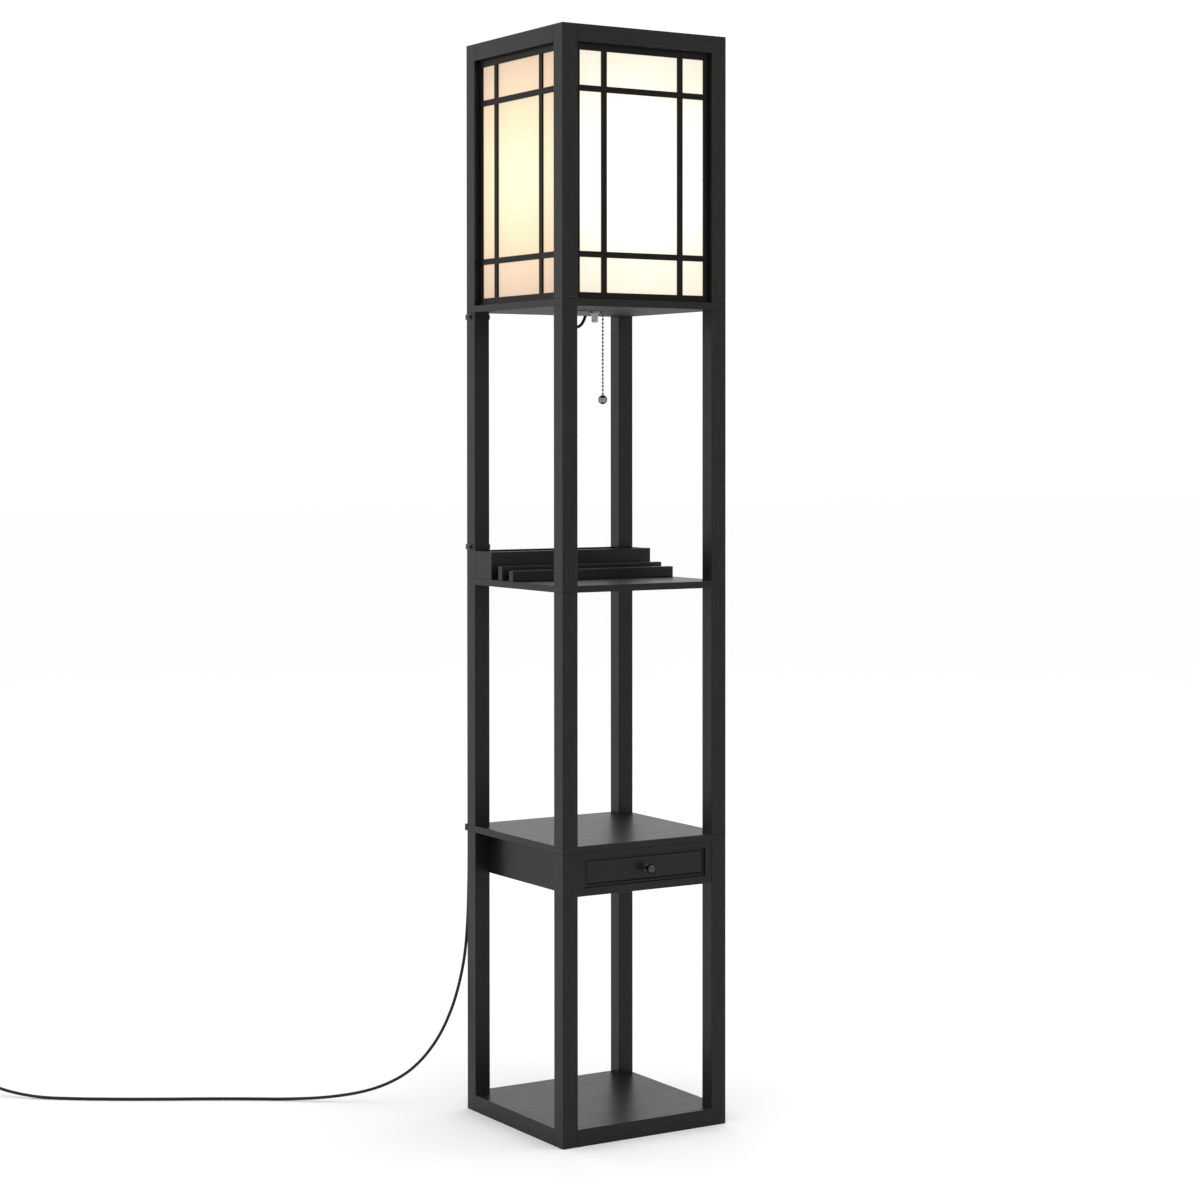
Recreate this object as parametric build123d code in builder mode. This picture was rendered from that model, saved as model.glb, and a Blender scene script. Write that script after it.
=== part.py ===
from build123d import *
import math
import os

# Shelf floor lamp: a slim tower of four square posts with a base, three open bays, a drawer under the
# lower shelf, a stepped organiser on the middle shelf and a lattice lantern with a pull-chain lamp on top.
# Millimetres, +Z up, front towards -Y. The origin is the middle of the footprint, on the floor.

# ---- Overall sizes -------------------------------------------------------------------------------
lamp_width = 280.0
lamp_depth = 280.0
post_side = 25.0
board_thickness = 10.0
lower_post_length = 420.0
middle_post_length = 362.0
upper_post_length = 398.0
lantern_post_length = 365.0
edge_round = 0.9

# ---- Base ----------------------------------------------------------------------------------------
base_rail_height = 25.0
base_rail_thickness = 15.0
base_panel_thickness = 9.0
rabbet_width = 6.0
panel_play = 0.2

# ---- Joints between the posts and the boards -----------------------------------------------------
stud_diameter = 6.0
stud_play = 0.4
stud_reach = 18.0
top_stud_reach = 8.0
dowel_diameter = 6.0
dowel_reach = 9.0
dowel_play = 0.3
base_dowel_z = 8.5
top_dowel_rise = 17.5

# ---- Drawer case ---------------------------------------------------------------------------------
case_height = 62.0
case_board = 9.0
case_bottom_thickness = 6.0
front_frame_thickness = 12.0
front_frame_setback = 0.6
front_frame_stile = 11.0
front_frame_bottom_rail = 11.5
front_frame_top_rail = 8.5
front_frame_ease = 0.5
case_back_setback = 3.0
runner_lift = 1.2
runner_width = 12.0
runner_guide_height = 9.0
runner_guide_play = 0.4

# ---- Drawer --------------------------------------------------------------------------------------
drawer_gap = 0.5
drawer_side_play = 0.8
drawer_lift = 0.3
drawer_front_thickness = 14.0
field_border = 3.2
field_height = 3.0
field_bevel = 3.2
drawer_board = 9.0
drawer_side_height = 35.0
drawer_length = 235.0
drawer_bottom_thickness = 3.0
drawer_bottom_lift = 3.0
groove_depth = 2.0
groove_play = 0.2
knob_ball_diameter = 14.2
knob_neck_diameter = 6.0
knob_foot_diameter = 12.0
knob_foot_thickness = 3.0
knob_foot_round = 0.8
knob_reach = 22.0
knob_screw_diameter = 4.0
knob_screw_play = 0.3
knob_screw_grip = 8.0
knob_screw_spare = 1.0
knob_screw_head_diameter = 8.0
knob_screw_head_height = 2.4

# ---- Organiser on the middle shelf ---------------------------------------------------------------
organiser_height = 41.0
organiser_depth = 75.0
organiser_board = 9.0
organiser_slot = 20.0
organiser_rail_thickness = 12.0
middle_rail_height = 21.0
front_rail_height = 15.5

# ---- Lantern -------------------------------------------------------------------------------------
top_rail_side = 25.0
lantern_panel_setback = 8.0
panel_frame_thickness = 8.0
panel_stile = 8.5
panel_rail = 10.0
lattice_bar = 8.5
lattice_thickness = 3.0
corner_pane_width = 37.0
end_pane_height = 50.0
panel_gap = 0.2
sheet_thickness = 0.8
sheet_play = 0.2

# ---- Lampholder and bulb -------------------------------------------------------------------------
nipple_diameter = 10.0
nipple_bore = 6.0
nipple_below = 16.5
nipple_above = 6.0
nipple_play = 0.3
nipple_round = 1.5
ring_nut_diameter = 15.0
ring_nut_height = 3.0
hex_nut_across = 14.0
hex_nut_height = 4.0
holder_diameter = 38.0
holder_wall = 1.5
holder_cap_height = 52.0
holder_shell_diameter = 36.0
holder_shell_height = 32.0
holder_shell_floor = 6.0
holder_bore_diameter = 29.0
holder_round = 1.0
switch_height = 19.9
switch_play = 0.3
switch_chamfer = 0.8
bulb_cap_diameter = 26.4
bulb_cap_height = 27.0
bulb_cap_chamfer = 4.0
bulb_diameter = 60.0
bulb_neck_diameter = 25.0
bulb_centre_rise = 50.0
bulb_glass = 1.2

# ---- Pull chain ----------------------------------------------------------------------------------
chain_offset = 14.0
guide_diameter = 6.8
guide_bore = 4.2
guide_play = 0.4
guide_flange_diameter = 10.0
guide_flange_height = 1.2
guide_above = 16.0
guide_below = 2.5
pull_travel = 12.0
pull_rod_diameter = 2.4
pull_stop_diameter = 5.2
pull_stop_height = 2.0
pull_rod_below = 2.0
bead_diameter = 3.6
bead_pitch = 5.6
bead_wire_diameter = 1.3
beads_per_length = 11
chain_joint_gap = 0.4
pull_ball_diameter = 13.7

# ---- Mains lead ----------------------------------------------------------------------------------
cord_diameter = 4.6
cord_play = 0.6
cord_inlet_offset = 11.0
cord_return_offset = 55.0
cord_loop_drop = 24.0
cord_from_post = 3.0
cord_from_back = 2.6
cord_first_rise = 24.0
cord_second_rise = 18.0
cord_wall_reach = 9.5
cord_wall_turn_x = 27.0
cord_wall_turn_y = 40.0
cord_lean_drop = 25.0
cord_lean_radius = 120.0
cord_low_from_side = 5.5
cord_low_from_back = 4.4
free_run_straight = 45.0
clamp_length = 19.0
clamp_width = 10.0
clamp_height = 6.5
clamp_play = 0.7
clamp_corner = 1.5
clamp_round = 0.8
grommet_wall = 1.6
grommet_flange_diameter = 12.0
grommet_flange_height = 1.5
clip_width = 8.0
clip_thickness = 1.2
clip_play = 0.1
clip_left_reach = 15.5
clip_right_reach = 24.5
clip_screw_diameter = 2.5
clip_screw_head_diameter = 5.0
clip_screw_head_height = 1.8
clip_screw_head_taper = 20
clip_screw_reach = 8.0
clip_screw_inset = 3.5
clip_stand_off = 1.5
top_clip_gap = 2.5
low_clip_tab = 22.0
low_clip_width = 9.5
low_clip_spread = 5.8
cord_post_notch = 20.0
coil_turn_diameter = 50.0
coil_turns = 4.5
coil_turn_pitch = 4.9
coil_lift = 1.2
tie_width = 6.0
tie_thickness = 1.0
tie_play = 0.1
tie_side_play = 0.35
tie_turn = 0.9
plug_length = 25.0
plug_width = 24.0
plug_height = 12.2
plug_corner = 4.0
plug_end_round = 1.0
boot_length = 22.0
boot_small_diameter = 6.8
boot_large_diameter = 11.0
blade_length = 16.0
blade_thickness = 1.5
blade_width = 6.4
blade_spacing = 12.7
blade_root = 6.0
blade_round = 0.4
touch_gap = 0.3

# ---- Levels and places worked out from the sizes above -------------------------------------------
lower_shelf_z = lower_post_length
lower_shelf_top = lower_shelf_z + board_thickness
middle_shelf_z = lower_shelf_top + middle_post_length
middle_shelf_top = middle_shelf_z + board_thickness
lantern_board_z = middle_shelf_top + upper_post_length
lantern_floor = lantern_board_z + board_thickness
lantern_ceiling = lantern_floor + lantern_post_length
lamp_top = lantern_ceiling + top_rail_side
half_width = lamp_width / 2
half_depth = lamp_depth / 2
inner_x = half_width - post_side
inner_y = half_depth - post_side
post_x = half_width - post_side / 2
post_y = half_depth - post_side / 2
case_z = lower_shelf_z - case_height
cord_down_x = -inner_x + cord_from_post
cord_down_y = half_depth + cord_from_back
frame_front_y = -half_depth + front_frame_setback
opening_half = inner_x - front_frame_stile
opening_bottom = case_z + front_frame_bottom_rail
opening_top = lower_shelf_z - front_frame_top_rail
case_rear_y = half_depth - case_back_setback
case_front_y = frame_front_y + front_frame_thickness
case_side_rear_y = case_rear_y - case_board
clip_levels = (
    middle_shelf_top + organiser_height + clip_width / 2 + clip_stand_off,
    lantern_board_z - clip_width / 2 - top_clip_gap,
)
low_clip_z = lower_shelf_z + board_thickness / 2
cord_low_x = -half_width + cord_low_from_side
cord_low_y = half_depth + cord_low_from_back


def save(piece, name):
    """Label a finished piece and write its file."""
    piece.part.label = name
    export_step(piece.part, f"parts/{name}.step")


def corner_points(x, y):
    """The four places (+-x, +-y)."""
    return [(-x, -y), (x, -y), (-x, y), (x, y)]


def board(x_span, y_span, z_span, rounded=True):
    """A rectangular board between the given limits, with eased edges."""
    middle = ((x_span[0] + x_span[1]) / 2, (y_span[0] + y_span[1]) / 2, z_span[0])
    with BuildPart(Plane(middle)) as piece:
        Box(
            x_span[1] - x_span[0],
            y_span[1] - y_span[0],
            z_span[1] - z_span[0],
            align=(Align.CENTER, Align.CENTER, Align.MIN),
        )
        if rounded:
            fillet(piece.edges(), edge_round)
    return piece


def post_group(bottom, top, stud_below=True, screws=(), rail_height=None):
    """Four posts standing at the corners, bored for the studs, the clip screws and the rail dowels."""
    corners = corner_points(post_x, post_y)
    with BuildPart() as group:
        with BuildSketch(Plane.XY.offset(bottom)):
            with Locations(*corners):
                Rectangle(post_side, post_side)
        extrude(amount=top - bottom)
        fillet(group.edges().filter_by(Axis.Z), edge_round)
        bores = [top - stud_reach] + ([bottom] if stud_below else [])
        for level in bores:
            with BuildSketch(Plane.XY.offset(level)):
                with Locations(*corners):
                    Circle((stud_diameter + stud_play) / 2)
            extrude(amount=stud_reach, mode=Mode.SUBTRACT)
        cut_screw_bores(screws)
        if rail_height is not None:
            cut_dowel_bores(rail_height, base_rail_thickness)
    return group


def dowel_places(level, rail_thickness):
    """Where a rail's end meets a post: the middle of each joint and the way its dowel runs."""
    rail_x = half_width - rail_thickness / 2
    rail_y = half_depth - rail_thickness / 2
    along_x = [((x, y, level), (1, 0, 0)) for x, y in corner_points(inner_x, rail_y)]
    along_y = [((x, y, level), (0, 1, 0)) for x, y in corner_points(rail_x, inner_y)]
    return along_x + along_y


def cut_dowel_bores(level, rail_thickness):
    """Bore the joint faces of the open part for the rail dowels."""
    for origin, way in dowel_places(level, rail_thickness):
        with BuildSketch(Plane(origin=origin, z_dir=way)) as bore:
            Circle((dowel_diameter + dowel_play) / 2)
        extrude(bore.sketch, amount=dowel_reach, both=True, mode=Mode.SUBTRACT)


def post_clip_screws(level):
    """The two screws of a clip round the post: where each enters the wood and the way it points out."""
    left = (-half_width, half_depth - clip_left_reach + clip_screw_inset, level)
    right = (-inner_x, half_depth - clip_right_reach + clip_screw_inset, level)
    return [(left, (-1, 0, 0)), (right, (1, 0, 0))]


def low_clip_screws():
    """The one screw of the lowest clip, in the back edge of the lower shelf."""
    return [((cord_low_x + low_clip_tab - clip_screw_inset, half_depth, low_clip_z), (0, 1, 0))]


def cut_screw_bores(screws):
    """Bore the open part for the screws of the cord clips."""
    for origin, way in screws:
        with BuildSketch(Plane(origin=origin, z_dir=way)) as bore:
            Circle(clip_screw_diameter / 2)
        extrude(bore.sketch, amount=-clip_screw_reach, mode=Mode.SUBTRACT)


def shelf_board(bottom, screws=()):
    """A square board of the full footprint with holes for the corner studs and any clip screws."""
    with BuildPart() as piece:
        with BuildSketch(Plane.XY.offset(bottom)):
            Rectangle(lamp_width, lamp_depth)
        extrude(amount=board_thickness)
        fillet(piece.edges(), edge_round)
        with BuildSketch(Plane.XY.offset(bottom)):
            with Locations(*corner_points(post_x, post_y)):
                Circle((stud_diameter + stud_play) / 2)
        extrude(amount=board_thickness, mode=Mode.SUBTRACT)
        cut_screw_bores(screws)
    return piece


def cord_tube(points, label, largest_radius=math.inf):
    """A round cord along straight runs joined by arcs as large as the runs and the limit allow."""
    radii = []
    for before, corner, after in zip(points, points[1:], points[2:]):
        first = Vector(corner) - Vector(before)
        second = Vector(after) - Vector(corner)
        half_turn = math.radians(first.get_angle(second)) / 2
        radius = 0.45 * min(first.length, second.length) / math.tan(half_turn)
        radii.append(min(radius, largest_radius))
    print(label, "bend radii", [round(radius, 1) for radius in radii])
    with BuildPart() as tube:
        with BuildLine() as route:
            FilletPolyline(*points, radius=radii)
        with BuildSketch(Plane(origin=points[0], z_dir=route.line % 0)):
            Circle(cord_diameter / 2)
        sweep(path=route.line)
    length = sum(edge.length for edge in route.edges())
    section = math.pi * cord_diameter**2 / 4
    share = tube.part.volume / (section * length)
    print(label, "length", round(length, 1), "volume share", round(share, 4))
    return tube


os.makedirs("parts", exist_ok=True)

# ---- Base: four rails between the feet of the posts, with a panel let into them ------------------
rail_spans = {
    "front": ((-inner_x, inner_x), (-half_depth, -half_depth + base_rail_thickness)),
    "back": ((-inner_x, inner_x), (half_depth - base_rail_thickness, half_depth)),
    "left": ((-half_width, -half_width + base_rail_thickness), (-inner_y, inner_y)),
    "right": ((half_width - base_rail_thickness, half_width), (-inner_y, inner_y)),
}
panel_half_x = half_width - base_rail_thickness + rabbet_width
panel_half_y = half_depth - base_rail_thickness + rabbet_width
dowel_level = base_dowel_z
for side, (x_span, y_span) in rail_spans.items():
    with BuildPart() as base_rail:
        with BuildSketch(Plane.XY):
            with Locations((sum(x_span) / 2, sum(y_span) / 2)):
                Rectangle(x_span[1] - x_span[0], y_span[1] - y_span[0])
        extrude(amount=base_rail_height)
        with BuildSketch(Plane.XY.offset(base_rail_height - base_panel_thickness)):
            Rectangle(2 * panel_half_x, 2 * panel_half_y)
        extrude(amount=base_panel_thickness, mode=Mode.SUBTRACT)
        cut_dowel_bores(dowel_level, base_rail_thickness)
    save(base_rail, f"base_rail_{side}")

with BuildPart() as base_panel:
    with BuildSketch(Plane.XY.offset(base_rail_height - base_panel_thickness)):
        Rectangle(2 * (panel_half_x - panel_play), 2 * (panel_half_y - panel_play))
        with Locations(*corner_points(post_x, post_y)):
            Rectangle(post_side + 2 * panel_play, post_side + 2 * panel_play, mode=Mode.SUBTRACT)
    extrude(amount=base_panel_thickness)
save(base_panel, "base_panel")

lower_posts = post_group(0.0, lower_shelf_z, stud_below=False, rail_height=dowel_level)
save(lower_posts, "lower_posts")

lower_shelf = shelf_board(lower_shelf_z, screws=low_clip_screws())
save(lower_shelf, "lower_shelf")

# ---- Drawer case under the lower shelf, standing between the left and the right posts ------------
with BuildPart() as case_front_frame:
    with BuildSketch(Plane.XZ.offset(-frame_front_y)):
        with Locations((0, case_z + case_height / 2)):
            Rectangle(2 * inner_x, case_height)
        with Locations((0, (opening_bottom + opening_top) / 2)):
            Rectangle(2 * opening_half, opening_top - opening_bottom, mode=Mode.SUBTRACT)
    extrude(amount=-front_frame_thickness)
    fillet(case_front_frame.edges().group_by(Axis.Y)[0], front_frame_ease)
save(case_front_frame, "case_front_frame")

with BuildPart() as case_sides:
    for side in (-1, 1):
        with BuildSketch(Plane.XY.offset(case_z)):
            with Locations((side * (inner_x - case_board / 2), (case_front_y + case_side_rear_y) / 2)):
                Rectangle(case_board, case_side_rear_y - case_front_y)
        extrude(amount=case_height)
save(case_sides, "case_sides")

case_back = board(
    (-inner_x, inner_x), (case_rear_y - case_board, case_rear_y), (case_z, lower_shelf_z), rounded=False
)
save(case_back, "case_back")

case_inner = inner_x - case_board
case_bottom = board(
    (-case_inner, case_inner),
    (case_front_y, case_rear_y - case_board),
    (case_z, case_z + case_bottom_thickness),
    rounded=False,
)
save(case_bottom, "case_bottom")

runner_top = opening_bottom + runner_lift
runner_front_y = frame_front_y + drawer_front_thickness + touch_gap
drawer_half = opening_half - drawer_side_play
guide_thickness = case_inner - drawer_half - runner_guide_play
with BuildPart() as drawer_runners:
    for side in (-1, 1):
        with BuildSketch(Plane.XZ.offset(-runner_front_y)):
            with Locations((side * (case_inner - runner_width / 2), case_z + case_bottom_thickness)):
                Rectangle(
                    runner_width,
                    runner_top - case_z - case_bottom_thickness,
                    align=(Align.CENTER, Align.MIN),
                )
            with Locations((side * (case_inner - guide_thickness / 2), runner_top)):
                Rectangle(guide_thickness, runner_guide_height, align=(Align.CENTER, Align.MIN))
        extrude(amount=-(case_rear_y - case_board - runner_front_y))
save(drawer_runners, "drawer_runners")

# ---- Drawer --------------------------------------------------------------------------------------
front_half = opening_half - drawer_gap
front_bottom = opening_bottom + drawer_gap
front_top = opening_top - drawer_gap
knob_z = (front_bottom + front_top) / 2
drawer_face_y = frame_front_y
field_base_y = drawer_face_y + field_height
drawer_inner_y = drawer_face_y + drawer_front_thickness
drawer_rear_y = drawer_inner_y + drawer_length
drawer_middle_y = drawer_inner_y + drawer_length / 2
side_bottom = runner_top + drawer_lift
side_top = side_bottom + drawer_side_height
bottom_z = side_bottom + drawer_bottom_lift
drawer_inner = drawer_half - drawer_board

with BuildPart() as drawer_front:
    with BuildSketch(Plane.XZ.offset(-field_base_y)):
        with Locations((0, knob_z)):
            Rectangle(2 * front_half, front_top - front_bottom)
    extrude(amount=-(drawer_inner_y - field_base_y))
    with BuildSketch(Plane.XZ.offset(-field_base_y)):
        with Locations((0, knob_z)):
            Rectangle(2 * (front_half - field_border), front_top - front_bottom - 2 * field_border)
    extrude(amount=field_height, taper=math.degrees(math.atan(field_bevel / field_height)))
    with BuildSketch(Plane.XZ.offset(-drawer_face_y)):
        with Locations((0, knob_z)):
            Circle((knob_screw_diameter + knob_screw_play) / 2)
    extrude(amount=-drawer_front_thickness, mode=Mode.SUBTRACT)
save(drawer_front, "drawer_front")

with BuildPart() as drawer_sides:
    for side in (-1, 1):
        with BuildSketch(Plane.XY.offset(side_bottom)):
            with Locations((side * (drawer_half - drawer_board / 2), drawer_middle_y)):
                Rectangle(drawer_board, drawer_length)
        extrude(amount=drawer_side_height)
        with BuildSketch(Plane.XY.offset(bottom_z - groove_play / 2)):
            with Locations((side * (drawer_inner + groove_depth / 2), drawer_middle_y)):
                Rectangle(groove_depth, drawer_length)
        extrude(amount=drawer_bottom_thickness + groove_play, mode=Mode.SUBTRACT)
save(drawer_sides, "drawer_sides")

drawer_bottom = board(
    (-drawer_inner - groove_depth + groove_play, drawer_inner + groove_depth - groove_play),
    (drawer_inner_y, drawer_rear_y),
    (bottom_z, bottom_z + drawer_bottom_thickness),
    rounded=False,
)
save(drawer_bottom, "drawer_bottom")

drawer_back = board(
    (-drawer_inner, drawer_inner),
    (drawer_rear_y - drawer_board, drawer_rear_y),
    (bottom_z + drawer_bottom_thickness + groove_play / 2, side_top),
    rounded=False,
)
save(drawer_back, "drawer_back")

with BuildPart(Plane(origin=(0, drawer_face_y, knob_z), z_dir=(0, -1, 0))) as drawer_knob:
    upright = (Align.CENTER, Align.CENTER, Align.MIN)
    Cylinder(knob_foot_diameter / 2, knob_foot_thickness, align=upright)
    fillet(drawer_knob.edges().group_by(Axis.Y)[0], knob_foot_round)
    Cylinder(knob_neck_diameter / 2, knob_reach - knob_ball_diameter / 2, align=upright)
    with Locations((0, 0, knob_reach - knob_ball_diameter / 2)):
        Sphere(knob_ball_diameter / 2)
    Cylinder(
        (knob_screw_diameter + knob_screw_play) / 2,
        knob_screw_grip + knob_screw_spare,
        align=upright,
        mode=Mode.SUBTRACT,
    )
save(drawer_knob, "drawer_knob")

with BuildPart(Plane(origin=(0, drawer_inner_y, knob_z), z_dir=(0, -1, 0))) as drawer_knob_screw:
    Cylinder(knob_screw_diameter / 2, drawer_front_thickness + knob_screw_grip, align=upright)
    Cylinder(
        knob_screw_head_diameter / 2,
        knob_screw_head_height,
        align=(Align.CENTER, Align.CENTER, Align.MAX),
    )
save(drawer_knob_screw, "drawer_knob_screw")

# ---- Middle section and its organiser ------------------------------------------------------------
middle_posts = post_group(lower_shelf_top, middle_shelf_z)
save(middle_posts, "middle_posts")

middle_shelf = shelf_board(middle_shelf_z)
save(middle_shelf, "middle_shelf")

# The organiser is an open box at the back of the shelf, with two lower rails in front of it.
organiser_front_y = half_depth - organiser_depth
organiser_span = (middle_shelf_top, middle_shelf_top + organiser_height)
organiser_front_board = board(
    (-half_width + organiser_board, half_width - organiser_board),
    (organiser_front_y, organiser_front_y + organiser_board),
    organiser_span,
    rounded=False,
)
save(organiser_front_board, "organiser_front_board")

organiser_back_board = board(
    (-inner_x, inner_x), (half_depth - organiser_board, half_depth), organiser_span, rounded=False
)
save(organiser_back_board, "organiser_back_board")

with BuildPart() as organiser_end_boards:
    for side in (-1, 1):
        with BuildSketch(Plane.XY.offset(middle_shelf_top)):
            with Locations((side * (half_width - organiser_board / 2), (organiser_front_y + inner_y) / 2)):
                Rectangle(organiser_board, inner_y - organiser_front_y)
        extrude(amount=organiser_height)
save(organiser_end_boards, "organiser_end_boards")

middle_rail_rear = organiser_front_y - organiser_slot
middle_rail_front = middle_rail_rear - organiser_rail_thickness
front_rail_rear = middle_rail_front - organiser_slot
for name, rear, height in (
    ("organiser_middle_rail", middle_rail_rear, middle_rail_height),
    ("organiser_front_rail", front_rail_rear, front_rail_height),
):
    organiser_rail = board(
        (-half_width, half_width),
        (rear - organiser_rail_thickness, rear),
        (middle_shelf_top, middle_shelf_top + height),
    )
    save(organiser_rail, name)

# ---- Upper section and the lantern's frame -------------------------------------------------------
upper_screws = [screw for level in clip_levels for screw in post_clip_screws(level)]
upper_posts = post_group(middle_shelf_top, lantern_board_z, screws=upper_screws)
save(upper_posts, "upper_posts")

guide_hole = guide_diameter + guide_play
grommet_hole = cord_diameter + cord_play + 2 * grommet_wall
cord_notch_half = cord_diameter / 2 + cord_play
with BuildPart() as lantern_board:
    with BuildSketch(Plane.XY.offset(lantern_board_z)):
        Rectangle(lamp_width, lamp_depth)
    extrude(amount=board_thickness)
    fillet(lantern_board.edges(), edge_round)
    with BuildSketch(Plane.XY.offset(lantern_board_z)):
        with Locations(*corner_points(post_x, post_y)):
            Circle((stud_diameter + stud_play) / 2)
        Circle((nipple_diameter + nipple_play) / 2)
        with Locations((-cord_inlet_offset, 0)):
            Circle((cord_diameter + cord_play) / 2)
        with Locations((-cord_return_offset, 0)):
            Circle((grommet_hole + cord_play) / 2)
        with Locations((chain_offset, 0)):
            Circle(guide_hole / 2)
        with Locations((cord_down_x, half_depth - cord_post_notch)):
            Rectangle(2 * cord_notch_half, cord_post_notch, align=(Align.CENTER, Align.MIN))
    extrude(amount=board_thickness, mode=Mode.SUBTRACT)
save(lantern_board, "lantern_board")

lantern_posts = post_group(lantern_floor, lantern_ceiling)
save(lantern_posts, "lantern_posts")

top_dowel_level = lantern_ceiling + top_dowel_rise
with BuildPart() as top_corner_blocks:
    with BuildSketch(Plane.XY.offset(lantern_ceiling)):
        with Locations(*corner_points(post_x, post_y)):
            Rectangle(post_side, post_side)
    extrude(amount=top_rail_side)
    fillet(top_corner_blocks.edges().filter_by(Axis.Z), edge_round)
    with BuildSketch(Plane.XY.offset(lantern_ceiling)):
        with Locations(*corner_points(post_x, post_y)):
            Circle((stud_diameter + stud_play) / 2)
    extrude(amount=top_stud_reach, mode=Mode.SUBTRACT)
    cut_dowel_bores(top_dowel_level, post_side)
save(top_corner_blocks, "top_corner_blocks")

with BuildPart() as top_rails:
    with BuildSketch(Plane.XY.offset(lantern_ceiling)):
        with Locations((0, -post_y), (0, post_y)):
            Rectangle(2 * inner_x, post_side)
        with Locations((-post_x, 0), (post_x, 0)):
            Rectangle(post_side, 2 * inner_y)
    extrude(amount=top_rail_side)
    cut_dowel_bores(top_dowel_level, post_side)
save(top_rails, "top_rails")

# ---- Studs and dowels of the frame ---------------------------------------------------------------
with BuildPart() as joint_studs:
    for level in (lower_shelf_z, middle_shelf_z, lantern_board_z):
        with BuildSketch(Plane.XY.offset(level - stud_reach + touch_gap)):
            with Locations(*corner_points(post_x, post_y)):
                Circle(stud_diameter / 2)
        extrude(amount=board_thickness + 2 * (stud_reach - touch_gap))
    with BuildSketch(Plane.XY.offset(lantern_ceiling - stud_reach + touch_gap)):
        with Locations(*corner_points(post_x, post_y)):
            Circle(stud_diameter / 2)
    extrude(amount=stud_reach + top_stud_reach - 2 * touch_gap)
save(joint_studs, "joint_studs")

with BuildPart() as rail_dowels:
    for level, thickness in ((dowel_level, base_rail_thickness), (top_dowel_level, post_side)):
        for origin, way in dowel_places(level, thickness):
            with BuildSketch(Plane(origin=origin, z_dir=way)):
                Circle(dowel_diameter / 2)
            extrude(amount=dowel_reach - touch_gap, both=True)
save(rail_dowels, "rail_dowels")

# ---- Lattice panels of the lantern and the sheets behind them ------------------------------------
panel_height = lantern_post_length - 2 * panel_gap
panel_middle_z = lantern_floor + lantern_post_length / 2
lantern_sides = {"front": 0, "right": 90, "back": 180, "left": 270}


def side_plane(turn, setback):
    """The upright plane of one side of the lantern, this far in from the posts' faces, looking out."""
    angle = math.radians(turn)
    reach = (half_depth if turn % 180 == 0 else half_width) - setback
    out = (math.sin(angle), -math.cos(angle), 0)
    along = (math.cos(angle), math.sin(angle), 0)
    return Plane(origin=(reach * out[0], reach * out[1], panel_middle_z), x_dir=along, z_dir=out)


def panel_opening(turn):
    """The width between the posts on one side of the lantern."""
    return 2 * (inner_x if turn % 180 == 0 else inner_y)


def lantern_panel(turn, cord_notch):
    """A lattice of two upright and two level bars in a frame that holds the sheet behind the bars."""
    width = panel_opening(turn) - 2 * panel_gap
    light_width = width - 2 * panel_stile
    light_height = panel_height - 2 * panel_rail
    bar_x = light_width / 2 - corner_pane_width - lattice_bar / 2
    bar_z = light_height / 2 - end_pane_height - lattice_bar / 2
    face = side_plane(turn, lantern_panel_setback)
    with BuildPart() as panel:
        with BuildSketch(face):
            Rectangle(width, panel_height)
            Rectangle(light_width, light_height, mode=Mode.SUBTRACT)
        extrude(amount=-panel_frame_thickness)
        with BuildSketch(face):
            with Locations((-bar_x, 0), (bar_x, 0)):
                Rectangle(lattice_bar, light_height)
            with Locations((0, -bar_z), (0, bar_z)):
                Rectangle(light_width, lattice_bar)
        extrude(amount=-lattice_thickness)
        if cord_notch:
            with BuildSketch(Plane.XY.offset(lantern_floor)):
                with Locations((cord_down_x, half_depth - cord_post_notch)):
                    Rectangle(2 * cord_notch_half, cord_post_notch, align=(Align.CENTER, Align.MIN))
            extrude(amount=cord_diameter + 2 * cord_play, mode=Mode.SUBTRACT)
    return panel


for side, turn in lantern_sides.items():
    save(lantern_panel(turn, side == "back"), f"lantern_panel_{side}")

with BuildPart() as diffuser_sheets:
    for turn in lantern_sides.values():
        with BuildSketch(side_plane(turn, lantern_panel_setback + lattice_thickness)):
            Rectangle(
                panel_opening(turn) - 2 * (panel_gap + panel_stile + sheet_play),
                panel_height - 2 * (panel_rail + sheet_play),
            )
        extrude(amount=-sheet_thickness)
save(diffuser_sheets, "diffuser_sheets")

# ---- Lampholder on the lantern board -------------------------------------------------------------
with BuildPart(Plane.XY.offset(lantern_board_z - nipple_below)) as lampholder_nipple:
    nipple_length = nipple_below + board_thickness + nipple_above
    Cylinder(nipple_diameter / 2, nipple_length, align=upright)
    Cylinder(nipple_bore / 2, nipple_length, align=upright, mode=Mode.SUBTRACT)
    fillet(lampholder_nipple.edges().group_by(Axis.Z)[0].sort_by(SortBy.LENGTH)[-1], nipple_round)
save(lampholder_nipple, "lampholder_nipple")

with BuildPart() as nipple_nuts:
    with BuildSketch(Plane.XY.offset(lantern_board_z - ring_nut_height)):
        Circle(ring_nut_diameter / 2)
        Circle(nipple_diameter / 2, mode=Mode.SUBTRACT)
    extrude(amount=ring_nut_height)
    with BuildSketch(Plane.XY.offset(lantern_floor + holder_wall)):
        RegularPolygon(hex_nut_across / 2, 6, major_radius=False)
        Circle(nipple_diameter / 2, mode=Mode.SUBTRACT)
    extrude(amount=hex_nut_height)
save(nipple_nuts, "nipple_nuts")

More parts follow.
